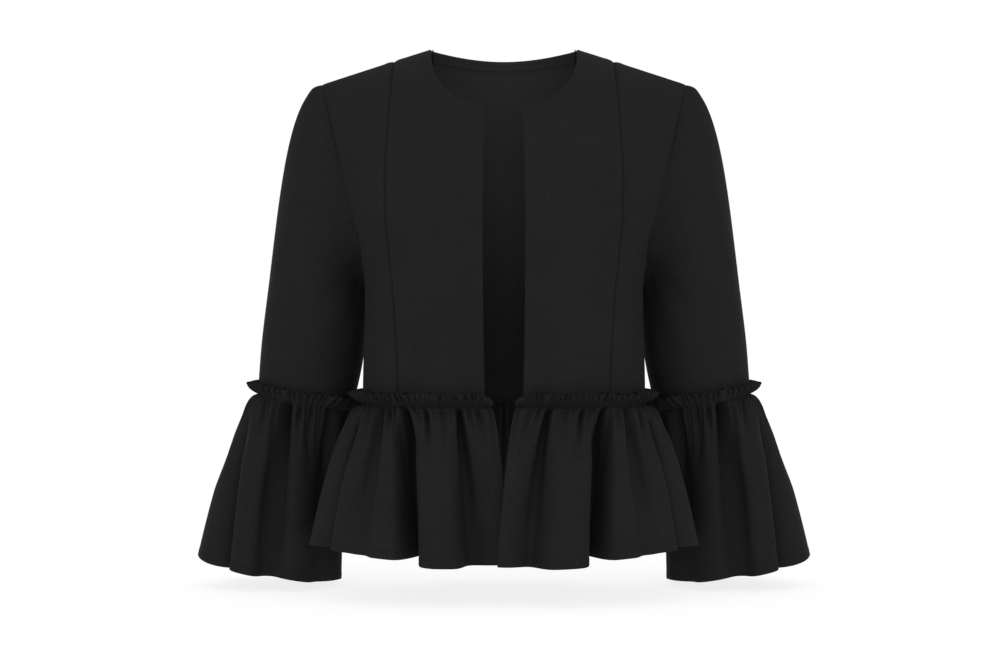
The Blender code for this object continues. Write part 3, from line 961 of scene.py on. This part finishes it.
def small_gathers(length, gathers, seed):
    """Places, depths, reaches and widths of the small gathers of one strip, uneven but the same each time."""
    random = np.random.default_rng(seed)
    count = int(round(length / gathers.spacing))
    steps = random.uniform(*GATHER_STEPS, count)
    at = (np.cumsum(steps) - steps[0] / 2) / steps.sum() * length
    return {
        "at": at,
        "depth": gathers.depth * random.uniform(*GATHER_DEPTHS, count),
        "reach": random.uniform(*GATHER_REACHES, count),
        "width": random.uniform(*GATHER_WIDTHS, count),
        "drift": random.uniform(*GATHER_DRIFTS, count),
    }


def joined(first, second):
    """Two tables of gathers as one."""
    return {name: np.concatenate([first[name], second[name]]) for name in first}


def repeated(gathers, length):
    """Gathers of a closed strip, with copies before its start and after its end."""
    copies = [dict(gathers, at=gathers["at"] + turn * length) for turn in (-1, 0, 1)]
    return joined(joined(copies[0], copies[1]), copies[2])


def gather_depth(place, shares, gathers):
    """Depth of the gathers at each share and place: bell curves that widen and fade on the way down."""
    total = np.zeros((len(shares), len(place)))
    share = shares[:, None]
    ramp = GATHER_START + (1 - GATHER_START) * np.clip(share / GATHER_RAMP, 0, 1)
    inner, outer = GATHER_FADE
    names = ("at", "depth", "reach", "width", "drift")
    for at, depth, reach, width, drift in zip(*(gathers[name] for name in names)):
        fade = np.clip(1 - (share / reach) ** inner, 0, 1) ** outer * ramp
        total += depth * fade * bump(place - at - drift * share, width * (1 + GATHER_SPREAD * share / reach))
    return total


def slow_wave(place, seed):
    """An uneven wave between about minus one and one, for slow changes along a strip."""
    random = np.random.default_rng(seed)
    starts = random.uniform(0, 2 * np.pi, len(SLOW_LENGTHS))
    return (np.sin(2 * np.pi * place[:, None] / SLOW_LENGTHS + starts) * SLOW_SIZES).sum(axis=1)


def ruffle(stitch, rise, flare, fall, place, small, long, gathers, seed, closed):
    """Gathered strip from its hem up to the frilled edge of its header, as a grid and its cloth coordinates.

    The flounce is given as the function fall of the shares from stitch to hem. It is pushed in by its gathers,
    nearly level, out by a low puff below the stitch line, and in by a pinch at it. The header waves in and out
    once for each small gather, more towards its edge and at a changing slant, and puffs out by its flare.
    """
    rest = np.linspace(1, 0, FLOUNCE_ROWS + 2)[1:-1] ** ROW_CROWDING * HEM_ROWS[-1]
    shares = np.concatenate([HEM_ROWS, rest])
    lower = fall(shares)
    normals = outward_normals(lower, closed)
    from_hem = walked(lower, 0)
    depth = gather_depth(place, shares, joined(small, long))
    depth -= (PUFF_HEIGHT * shares / PUFF_AT * np.exp(1 - shares / PUFF_AT))[:, None]
    depth += (STITCH_PINCH * np.clip(1 - shares / PINCH_REACH, 0, 1) ** 3)[:, None]
    turned = np.clip((gathers.hem - from_hem) / HEM_STEP + 0.5, 0, 1)
    depth += HEM_GROOVE * bump(from_hem - gathers.hem, HEM_GROOVE_WIDTH) - gathers.hem_lift * turned
    lower = lower - depth[..., None] * unit(normals * np.array((1.0, 1.0, GATHER_LEVEL)))

    along, out = ring_directions(stitch, closed)
    order = np.argsort(small["at"])
    turn = 2 * np.pi * np.interp(place, small["at"][order], np.arange(len(order)))
    share = np.linspace(0, 1, HEADER_ROWS + 1)[:, None]
    length = 2 * np.pi * np.gradient(place) / np.maximum(np.gradient(turn), 1e-6) / gathers.spacing
    size = (1 + CRIMP_VARIES * slow_wave(place, seed)) * np.clip(length, *CRIMP_LENGTHS)
    wave = CRIMP_ROOT + (gathers.crimp_depth - CRIMP_ROOT) * share**CRIMP_GROWTH
    slanted = turn + HEADER_SLANT * share * slow_wave(place, seed + 4)
    puffed = np.sin(np.pi / 2 * HEADER_CURL * share)
    outwards = flare * puffed * (1 + FLARE_VARIES * slow_wave(place, seed + 1))
    outwards = outwards - wave * size * np.cos(slanted)
    outwards -= STITCH_PINCH * (1 - share) ** 6
    sideways = CRIMP_CURL * share * np.sin(2 * slanted) + HEADER_DRIFT * share * slow_wave(place, seed + 2)
    height = share * (1 + RISE_VARIES * slow_wave(place, seed + 3))
    height = height + RISE_WAVE * share**2 * np.cos(slanted + RISE_WAVE_LAG)
    if not closed:
        from_end = np.exp(-place / HEADER_END_LENGTH)
        rounded = np.sin(np.pi * (HEADER_END_ARC[0] + HEADER_END_ARC[1] * share))
        sideways = sideways - HEADER_END_SPREAD * rounded * from_end
        height = height * (1 - HEADER_END_DROP * from_end)
    header = stitch + out * outwards[..., None] + along * sideways[..., None] + rise * height[..., None]
    grid = np.concatenate([lower, header])
    up = np.concatenate([from_hem, from_hem[-1:] + share * np.linalg.norm(rise)])
    return grid, points(np.broadcast_to(place, up.shape), up, 0.0)


def cuff_strip(crepe, gathers):
    """Right cuff ruffle all round the sleeve's lower edge."""
    folds = len(CUFF_FOLDS["turn"])
    wrapped = {name: np.concatenate([column[-2:], column, column[:2]]) for name, column in CUFF_FOLDS.items()}
    wrapped["turn"] += np.repeat((-360, 0, 360), (2, folds, 2))
    places = np.arange(-2.0, folds + 2)
    phase = np.arange(folds * CUFF_STEPS) / CUFF_STEPS
    at_phase = {name: smooth(phase, places, column) for name, column in wrapped.items()}
    hem_turn = at_phase["turn"]
    seat_turn = np.radians(smooth(hem_turn, CUFF_SEATS["hem"], CUFF_SEATS["seat"]))
    seat = ring_row(SLEEVE_RINGS, -1)
    seat["half_x"] += crepe.thickness + SEAM_GAP
    seat["half_y"] += crepe.thickness + SEAM_GAP
    stitch = ellipse(seat_turn, **seat)
    hem = ellipse(np.radians(hem_turn), **CUFF_HEM)
    around = np.where(hem_turn > 270, hem_turn - 360, hem_turn)
    hem[:, 2] -= smooth(around, CUFF_SAG["turn"], CUFF_SAG["drop"])

    steps = np.linalg.norm(np.diff(stitch, axis=0, append=stitch[:1]), axis=1)
    length = steps.sum()
    place = np.concatenate([[0.0], np.cumsum(steps)[:-1]])
    long = {name: CUFF_GATHERS[name] for name in ("depth", "reach", "width", "drift")}
    turns = np.concatenate([np.degrees(seat_turn), np.degrees(seat_turn[:1]) + 360])
    wanted = turns[0] + np.mod(CUFF_GATHERS["turn"] - turns[0], 360)
    long["at"] = np.interp(wanted, turns, np.append(place, length))
    small = repeated(small_gathers(length, gathers, CUFF_SEED), length)

    lean = np.radians(seat["tilt"])
    rise = gathers.header_rise * np.array((-np.sin(lean), 0.0, np.cos(lean)))
    outer_side = np.cos(seat_turn / 2) ** 2
    flare = gathers.header_flare * (HEADER_INNER_SHARE + (1 - HEADER_INNER_SHARE) * outer_side)

    def fall(shares):
        return flounce(stitch, hem, phase, at_phase, CUFF_BELL, shares, True)

    long = repeated(long, length)
    return ruffle(stitch, rise, flare, fall, place, small, long, gathers, CUFF_HEADER_SEED, True)


def waist_ring(turn, crepe):
    """Outer face of the gathering line around the bodice, from the centre front to the back."""
    sine = np.sin(turn)
    across = np.sign(sine) * np.abs(sine) ** (2 / ROUNDNESS) * half_width(WAIST)
    front = body(across, np.full_like(across, WAIST), -1)
    back = body(across, np.full_like(across, WAIST), 1)
    ring = np.where((np.cos(turn) > 0)[:, None], front, back)
    along = unit(np.gradient(ring, axis=0) * np.array((1.0, 1.0, 0.0)))
    out = points(along[:, 1], -along[:, 0], np.zeros(len(along)))
    return ring + out * (crepe.thickness + SEAM_GAP) * np.sign(np.sum(out * ring))


def peplum_strip(crepe, gathers, lap, seed):
    """Right half of the peplum from its front end to the centre back, the front end laid back by the lap."""
    troughs = PEPLUM_FOLDS["turn"]
    places = np.arange(float(len(troughs)))
    front_steps = int((PEPLUM_SIDE_PHASE - PEPLUM_FIRST_PHASE) * PEPLUM_FRONT_STEPS)
    back_steps = int((places[-1] - PEPLUM_SIDE_PHASE) * PEPLUM_BACK_STEPS)
    phase = np.concatenate(
        [
            np.linspace(PEPLUM_FIRST_PHASE, PEPLUM_SIDE_PHASE, front_steps + 1),
            np.linspace(PEPLUM_SIDE_PHASE, places[-1], back_steps + 1)[1:],
        ]
    )
    at_phase = {name: smooth(phase, places, column) for name, column in PEPLUM_FOLDS.items()}
    turn = at_phase["turn"]
    stitch = waist_ring(np.radians(smooth(turn, PEPLUM_SEATS["hem"], PEPLUM_SEATS["seat"])), crepe)
    sine = np.sin(np.radians(turn))
    cosine = np.cos(np.radians(turn))
    reach = np.where(cosine > 0, PEPLUM_HEM["front"], PEPLUM_HEM["back"])
    drop = smooth(turn, PEPLUM_FALL["turn"], PEPLUM_FALL["fall"])
    laid_back = lap * np.clip(1 - turn / LAP_TURN, 0, None)
    hem = points(PEPLUM_HEM["half"] * sine, PEPLUM_HEM["side"] - reach * cosine + laid_back, WAIST - drop)

    place = walked(stitch[None], 1)[0]
    side_place = place[front_steps]
    small = small_gathers(place[-1], gathers, PEPLUM_SEED)
    moved = np.random.default_rng(seed).uniform(*GATHER_SHIFTS, len(small["at"]))
    small["at"] = small["at"] + moved * (small["at"] < side_place - SHIFTS_STOP)
    long = {name: PEPLUM_GATHERS[name] for name in ("depth", "reach", "width", "drift")}
    front_part = stitch[: front_steps // 2 * 2, 0]
    rising = np.maximum.accumulate(front_part)
    long["at"] = np.interp(PEPLUM_GATHERS["across"], rising, place[: len(rising)])
    hidden = small_gathers(place[-1] - side_place, gathers, BEHIND_SEED)
    behind = {name: column[1::BEHIND_EVERY] for name, column in hidden.items()}
    behind["at"] = behind["at"] + side_place
    for name, times in BEHIND_TIMES.items():
        behind[name] = behind[name] * times
    rise = np.array((0.0, 0.0, gathers.header_rise))
    flare = np.full_like(turn, gathers.header_flare)

    def fall(shares):
        return flounce(stitch, hem, phase, at_phase, PEPLUM_BELL, shares, False)

    long = joined(long, behind)
    grid, cloth = ruffle(stitch, rise, flare, fall, place, small, long, gathers, PEPLUM_HEADER_SEED, False)
    return grid, cloth, front_steps


def rim_loops(rows, columns, closed):
    """Indices round a grid's open edges, each loop turning the way its faces turn."""
    index = np.arange(rows * columns).reshape(rows, columns)
    if closed:
        return [index[0], index[-1, ::-1]]
    return [np.concatenate([index[0, :-1], index[:-1, -1], index[-1, :0:-1], index[:0:-1, 0]])]


def grid_faces(rows, columns, closed):
    """Four corner indices for each cell of a grid."""
    index = np.arange(rows * columns).reshape(rows, columns)
    if closed:
        index = np.concatenate([index, index[:, :1]], axis=1)
    corners = (index[:-1, :-1], index[:-1, 1:], index[1:, 1:], index[1:, :-1])
    return np.stack(corners, axis=-1).reshape(-1, 4)


def outward_edges(grid, closed):
    """At the points on a grid's open edges, the directions that lead off the sheet."""
    off = np.zeros_like(grid)
    off[0] += unit(grid[0] - grid[1])
    off[-1] += unit(grid[-1] - grid[-2])
    if not closed:
        off[:, 0] += unit(grid[:, 0] - grid[:, 1])
        off[:, -1] += unit(grid[:, -1] - grid[:, -2])
    return unit(off)


def cloth_wall(name, outer, normals, thickness, cloth, closed=False):
    """A piece of cloth: the outer sheet, an inner sheet one thickness behind it, and a rim between them.

    The rim is half round: its middle line lies halfway between the sheets, moved off the edge by half a
    thickness.
    """
    rows, columns = outer.shape[:2]
    count = rows * columns
    thick = np.broadcast_to(thickness, (rows, columns))[..., None]
    inner = outer - normals * thick
    middle = (outer + inner) / 2 + outward_edges(outer, closed) * thick / 2
    faces = grid_faces(rows, columns, closed)
    places = [outer.reshape(-1, 3), inner.reshape(-1, 3)]
    coordinates = [cloth.reshape(-1, 3), cloth.reshape(-1, 3)]
    quads = [faces, faces[:, ::-1] + count]
    start = 2 * count
    for loop in rim_loops(rows, columns, closed):
        rim = start + np.arange(len(loop))
        after = np.roll(loop, -1)
        rim_after = np.roll(rim, -1)
        quads.append(np.stack([after, loop, rim, rim_after], axis=1))
        quads.append(np.stack([rim_after, rim, loop + count, after + count], axis=1))
        places.append(middle.reshape(-1, 3)[loop])
        coordinates.append(cloth.reshape(-1, 3)[loop])
        start += len(loop)
    quads = np.concatenate(quads)
    if np.sum(sheet_normals(outer, closed) * normals) < 0:
        quads = quads[:, ::-1]
    return mesh_piece(name, np.concatenate(places), quads, np.concatenate(coordinates))


def mesh_piece(name, places, quads, coordinates):
    """An object at the origin made of four-cornered faces, with its cloth coordinates as a point attribute."""
    mesh = bpy.data.meshes.new(name)
    mesh.vertices.add(len(places))
    mesh.vertices.foreach_set("co", places.astype(np.float32).ravel())
    mesh.loops.add(quads.size)
    mesh.loops.foreach_set("vertex_index", quads.astype(np.int32).ravel())
    mesh.polygons.add(len(quads))
    mesh.polygons.foreach_set("loop_start", np.arange(0, quads.size, 4, dtype=np.int32))
    mesh.update(calc_edges=True)
    mesh.shade_smooth()
    attribute = mesh.attributes.new("cloth_place", "FLOAT_VECTOR", "POINT")
    attribute.data.foreach_set("vector", coordinates.astype(np.float32).ravel())
    piece = bpy.data.objects.new(name, mesh)
    bpy.context.scene.collection.objects.link(piece)
    return piece


def linked(tree, kind, inputs=None, **values):
    """A new node with its settings, and its inputs set to numbers or joined to sockets."""
    node = tree.nodes.new(kind)
    for name, value in values.items():
        setattr(node, name, value)
    for name, value in (inputs or {}).items():
        if isinstance(value, bpy.types.NodeSocket):
            tree.links.new(value, node.inputs[name])
        else:
            node.inputs[name].default_value = value
    return node


def noise(tree, place, scale, detail, roughness=0.5):
    """Even noise at a place, with bumps one divided by the scale apart."""
    inputs = {"Vector": place, "Scale": scale, "Detail": detail, "Roughness": roughness}
    return linked(tree, "ShaderNodeTexNoise", inputs).outputs["Fac"]


def ranged(tree, value, given, wanted, **values):
    """A value moved from its given range to the wanted one."""
    names = ("From Min", "From Max", "To Min", "To Max")
    inputs = {"Value": value, **dict(zip(names, (*given, *wanted)))}
    return linked(tree, "ShaderNodeMapRange", inputs, **values).outputs[0]


def reckoned(tree, operation, *values):
    """The result of one sum on numbers or sockets."""
    return linked(tree, "ShaderNodeMath", dict(enumerate(values)), operation=operation).outputs[0]


def crepe_cloth(name, crepe, hem=None):
    """Black crepe: fine pebbles and finer yarn in colour and bump, slow changes of tone, a stitched hem."""
    material = bpy.data.materials.new(name)
    material.use_nodes = True
    tree = material.node_tree
    shader = tree.nodes["Principled BSDF"]
    place = linked(tree, "ShaderNodeTexCoord").outputs["Object"]
    pebble = noise(tree, place, 1 / crepe.pebble_size, 2.0, 0.55)
    yarn = noise(tree, place, YARN_FINENESS / crepe.pebble_size, 1.0)
    tone = noise(tree, place, TONE_SCALE, 4.0, 0.6)
    grain = reckoned(tree, "MULTIPLY_ADD", yarn, YARN_SHARE, pebble)
    light = ranged(tree, grain, (0.5, 0.95), GRAIN_SHADES)
    drift = ranged(tree, tone, TONE_RANGE, TONE_SHADES)
    shade = reckoned(tree, "MULTIPLY", light, drift)
    height = grain
    if hem is not None:
        shade, height = hem_stitches(tree, hem, shade, grain)
    inputs = {0: tuple(crepe.colour), "Scale": shade}
    colour = linked(tree, "ShaderNodeVectorMath", inputs, operation="SCALE").outputs[0]
    roughnesses = (crepe.roughness - 0.05, crepe.roughness + 0.04)
    rough = ranged(tree, tone, TONE_RANGE, roughnesses)
    inputs = {"Height": height, "Strength": 1.0, "Distance": crepe.pebble_height}
    relief = linked(tree, "ShaderNodeBump", inputs).outputs["Normal"]
    tree.links.new(colour, shader.inputs["Base Color"])
    tree.links.new(rough, shader.inputs["Roughness"])
    tree.links.new(relief, shader.inputs["Normal"])
    shader.inputs["Metallic"].default_value = 0.0
    shader.inputs["Specular IOR Level"].default_value = 0.03
    shader.inputs["Sheen Weight"].default_value = crepe.sheen
    shader.inputs["Sheen Roughness"].default_value = 0.45
    return material


def hem_stitches(tree, hem, shade, grain):
    """Adds a row of short stitches at the hem's depth: each sinks into the cloth and is a little darker."""
    cloth = linked(tree, "ShaderNodeAttribute", attribute_name="cloth_place").outputs["Vector"]
    split = linked(tree, "ShaderNodeSeparateXYZ", {0: cloth})
    off = reckoned(tree, "ABSOLUTE", reckoned(tree, "SUBTRACT", split.outputs["Y"], hem))
    line = ranged(tree, off, STITCH_EDGES, (1.0, 0.0), interpolation_type="SMOOTHSTEP")
    wave = reckoned(tree, "SINE", reckoned(tree, "MULTIPLY", split.outputs["X"], STITCH_PACE))
    dash = ranged(tree, wave, (-0.6, -0.2), (0.35, 1.0))
    stitch = reckoned(tree, "MULTIPLY", line, dash)
    darker = ranged(tree, stitch, (0.0, 1.0), (1.0, STITCH_SHADE))
    shade = reckoned(tree, "MULTIPLY", shade, darker)
    return shade, reckoned(tree, "MULTIPLY_ADD", stitch, -STITCH_SINK, grain)


def crepe_for(crepe, gathers=None):
    """The plain crepe, or the crepe with a stitched hem, made once."""
    name = "plain_crepe" if gathers is None else "hemmed_crepe"
    found = bpy.data.materials.get(name)
    return found or crepe_cloth(name, crepe, None if gathers is None else gathers.hem)


def finish_piece(piece, node, material):
    """Gives a piece its cloth, its place on the part and its flat cut, in the node's stead."""
    piece.data.materials.append(material)
    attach(piece, "root")
    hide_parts(node)


def flat_place(grid):
    """Cloth coordinates of a plain panel: distance across and distance up from its lower edge."""
    return points(walked(grid, 1), walked(grid, 0), 0.0)


def sewn_pair(stem, grid, normals, thickness, cloth, material, closed=False):
    """The right piece and its mirror image, each in its own side's node's stead; {} stands for the side."""
    for side, turned in (("right", np.copy), ("left", mirrored)):
        name = stem + "_cloth_" + side
        piece = cloth_wall(name, turned(grid), turned(normals), thickness, cloth, closed)
        finish_piece(piece, stem + "_" + side, material)


class JACKET_OT_centre_fronts(Operator):
    """Make the two centre fronts, from the open edge to the princess seam"""

    bl_idname = "jacket.centre_fronts"
    bl_label = "Centre fronts"

    def execute(self, context):
        scene = context.scene
        (grid, normals), _ = front_panels(scene.jacket_seams)
        crepe = scene.jacket_crepe
        edge = np.minimum(walked(grid, 1), walked(grid, 0, from_end=True))
        thickness = crepe.thickness + (crepe.faced_thickness - crepe.thickness) * bump(edge, FACED_WIDTH)
        sewn_pair("centre_front", grid, normals, thickness, flat_place(grid), crepe_for(crepe))
        return {"FINISHED"}


class JACKET_OT_side_fronts(Operator):
    """Make the two side fronts, from the princess seam to the side seam and the armhole"""

    bl_idname = "jacket.side_fronts"
    bl_label = "Side fronts"

    def execute(self, context):
        scene = context.scene
        _, (grid, normals) = front_panels(scene.jacket_seams)
        crepe = scene.jacket_crepe
        plain = crepe_for(crepe)
        sewn_pair("side_front", grid, normals, crepe.thickness, flat_place(grid), plain)
        return {"FINISHED"}


class JACKET_OT_back(Operator):
    """Make the back panel and the facing inside its neck"""

    bl_idname = "jacket.back"
    bl_label = "Back and neck facing"

    def execute(self, context):
        scene = context.scene
        crepe = scene.jacket_crepe
        grid, normals = back_panel(scene.jacket_seams)
        grid = inset(both_halves(grid))
        piece = cloth_wall("back_cloth", grid, both_halves(normals), crepe.thickness, flat_place(grid))
        finish_piece(piece, "back", crepe_for(crepe))
        band, band_normals = facing_band(crepe)
        piece = cloth_wall("back_neck_facing_cloth", band, band_normals, crepe.thickness, flat_place(band))
        finish_piece(piece, "back_neck_facing", crepe_for(crepe))
        return {"FINISHED"}


class JACKET_OT_sleeves(Operator):
    """Make the two set-in sleeves, from the armhole to the cuff's stitch line"""

    bl_idname = "jacket.sleeves"
    bl_label = "Sleeves"

    def execute(self, context):
        scene = context.scene
        crepe = scene.jacket_crepe
        _, (front, front_normals) = front_panels(scene.jacket_seams)
        back, back_normals = back_panel(scene.jacket_seams)
        loop = armhole_loop(front, back)
        grid, normals = sleeve_sheet(loop, armhole_loop(front_normals, back_normals))
        plain = crepe_for(crepe)
        sewn_pair("sleeve", grid, normals, crepe.thickness, flat_place(grid), plain, closed=True)
        return {"FINISHED"}


class JACKET_OT_cuff_ruffles(Operator):
    """Make the two gathered cuffs with their frilled headers"""

    bl_idname = "jacket.cuff_ruffles"
    bl_label = "Cuff ruffles"

    def execute(self, context):
        scene = context.scene
        crepe = scene.jacket_crepe
        gathers = scene.jacket_gathers
        grid, cloth = cuff_strip(crepe, gathers)
        normals = outward_normals(grid, closed=True)
        hemmed = crepe_for(crepe, gathers)
        sewn_pair("cuff_ruffle", grid, normals, crepe.thickness, cloth, hemmed, closed=True)
        return {"FINISHED"}


class JACKET_OT_peplum(Operator):
    """Make the gathered peplum: two fronts, the right one over the left at the hem, and the back"""

    bl_idname = "jacket.peplum"
    bl_label = "Peplum"

    def execute(self, context):
        scene = context.scene
        crepe = scene.jacket_crepe
        gathers = scene.jacket_gathers
        right, cloth, side = peplum_strip(crepe, gathers, 0.0, RIGHT_SHIFT_SEED)
        right_normals = outward_normals(right)
        left, _, _ = peplum_strip(crepe, gathers, LEFT_LAP, LEFT_SHIFT_SEED)
        left_normals = outward_normals(left)
        front = slice(0, side + 1)
        hemmed = crepe_for(crepe, gathers)
        left_side = ("left", mirrored(left), mirrored(left_normals))
        for name, grid, normals in (("right", right, right_normals), left_side):
            piece_name = "peplum_front_cloth_" + name
            sheet = inset(grid[:, front])
            piece = cloth_wall(piece_name, sheet, normals[:, front], crepe.thickness, cloth[:, front])
            finish_piece(piece, "peplum_front_" + name, hemmed)
        behind = slice(None, side - 1, -1)
        grid = inset(both_halves(right[:, behind]))
        half_cloth = cloth[:, behind] - cloth[:1, -1:] * np.array((1.0, 0.0, 0.0))
        normals = both_halves(right_normals[:, behind])
        piece = cloth_wall("peplum_back_cloth", grid, normals, crepe.thickness, both_halves(half_cloth))
        finish_piece(piece, "peplum_back", hemmed)
        return {"FINISHED"}


class JACKET_OT_stage(Operator):
    """Make the pale floor, the soft lights, the white surround and the camera"""

    bl_idname = "jacket.stage"
    bl_label = "Stage"

    def execute(self, context):
        scene = context.scene
        stage = scene.jacket_stage
        self.floor(stage)
        self.lights(scene, stage)
        self.camera(scene, stage)
        return {"FINISHED"}

    def floor(self, stage):
        """A flat square well beyond the view."""
        reach = np.linspace(-FLOOR_REACH, FLOOR_REACH, FLOOR_LINES)
        across, along = np.meshgrid(reach, reach)
        corners = points(across, along, stage.floor_height).reshape(-1, 3)
        floor = mesh_piece("floor", corners, grid_faces(FLOOR_LINES, FLOOR_LINES, False), corners)
        material = bpy.data.materials.new("pale_floor")
        material.use_nodes = True
        shader = material.node_tree.nodes["Principled BSDF"]
        shader.inputs["Base Color"].default_value = (*stage.floor_colour, 1.0)
        shader.inputs["Roughness"].default_value = 0.9
        shader.inputs["Specular IOR Level"].default_value = 0.0
        shader.inputs["Emission Color"].default_value = (1.0, 1.0, 1.0, 1.0)
        shader.inputs["Emission Strength"].default_value = stage.floor_glow
        floor.data.materials.append(material)

    def lights(self, scene, stage):
        """A white surround, soft lights at both sides, overhead and in front, and two small ones inside."""
        world = bpy.data.worlds.new("white_surround")
        world.use_nodes = True
        background = world.node_tree.nodes["Background"]
        background.inputs["Color"].default_value = (1.0, 1.0, 1.0, 1.0)
        background.inputs["Strength"].default_value = stage.surround
        scene.world = world
        places = (
            ("left_light", (-2.2, -1.7, 0.3), LIGHT_AIM, stage.side_power, 1.8),
            ("right_light", (2.2, -1.7, 0.3), LIGHT_AIM, stage.side_power, 1.8),
            ("top_light", (0.0, -1.0, 2.2), LIGHT_AIM, stage.top_power, 2.2),
            ("front_light", (0.0, -2.5, 0.1), LIGHT_AIM, stage.front_power, 0.6),
            ("neck_light", (0.0, -0.050, -0.060), (0.0, 0.08, -0.09), stage.neck_power, 0.14),
            ("collar_light", (0.0, -0.005, 0.025), (0.0, 0.06, 0.020), stage.neck_power / 5, 0.10),
        )
        for name, place, aim, power, size in places:
            light = bpy.data.lights.new(name, "AREA")
            light.energy = power
            light.size = size
            lamp = bpy.data.objects.new(name, light)
            lamp.location = place
            lamp.visible_camera = False
            towards = np.array(aim) - np.array(place)
            level = np.hypot(towards[0], towards[1])
            lamp.rotation_euler = (
                np.pi / 2 + np.arctan2(towards[2], level),
                0.0,
                np.arctan2(towards[1], towards[0]) - np.pi / 2,
            )
            scene.collection.objects.link(lamp)

    def camera(self, scene, stage):
        """Straight in front, level, at the height of the lower bodice."""
        lens = bpy.data.cameras.new("camera")
        lens.lens = stage.lens
        lens.sensor_width = SENSOR_WIDTH
        camera = bpy.data.objects.new("camera", lens)
        camera.location = (0.0, -stage.camera_distance, stage.camera_height)
        camera.rotation_euler = (np.pi / 2, 0.0, 0.0)
        scene.collection.objects.link(camera)
        scene.camera = camera
        scene.view_settings.view_transform = "Standard"


class JACKET_PT_pieces(Panel):
    """Lists the settings and the pieces of the jacket"""

    bl_idname = "JACKET_PT_pieces"
    bl_label = "Cropped jacket"
    bl_space_type = "VIEW_3D"
    bl_region_type = "UI"
    bl_category = "Jacket"

    def draw(self, context):
        scene = context.scene
        for group in (scene.jacket_crepe, scene.jacket_seams, scene.jacket_gathers, scene.jacket_stage):
            box = self.layout.box()
            for name in group.bl_rna.properties.keys():
                if name not in ("rna_type", "name"):
                    box.prop(group, name)
        for operator in OPERATORS:
            self.layout.operator(operator.bl_idname)


OPERATORS = (
    JACKET_OT_centre_fronts,
    JACKET_OT_side_fronts,
    JACKET_OT_back,
    JACKET_OT_sleeves,
    JACKET_OT_cuff_ruffles,
    JACKET_OT_peplum,
    JACKET_OT_stage,
)
GROUPS = {
    "jacket_crepe": CrepeSettings,
    "jacket_seams": SeamSettings,
    "jacket_gathers": GatherSettings,
    "jacket_stage": StageSettings,
}


def register():
    """Registers the settings, the operators and the panel."""
    for group in GROUPS.values():
        bpy.utils.register_class(group)
    for name, group in GROUPS.items():
        setattr(bpy.types.Scene, name, PointerProperty(type=group))
    for operator in OPERATORS:
        bpy.utils.register_class(operator)
    bpy.utils.register_class(JACKET_PT_pieces)


def unregister():
    """Takes them off again."""
    bpy.utils.unregister_class(JACKET_PT_pieces)
    for operator in OPERATORS:
        bpy.utils.unregister_class(operator)
    for name, group in GROUPS.items():
        delattr(bpy.types.Scene, name)
        bpy.utils.unregister_class(group)


def main():
    """Makes every piece and the stage."""
    register()
    bpy.ops.jacket.stage()
    bpy.ops.jacket.centre_fronts()
    bpy.ops.jacket.side_fronts()
    bpy.ops.jacket.back()
    bpy.ops.jacket.sleeves()
    bpy.ops.jacket.cuff_ruffles()
    bpy.ops.jacket.peplum()


if __name__ == "__main__":
    main()
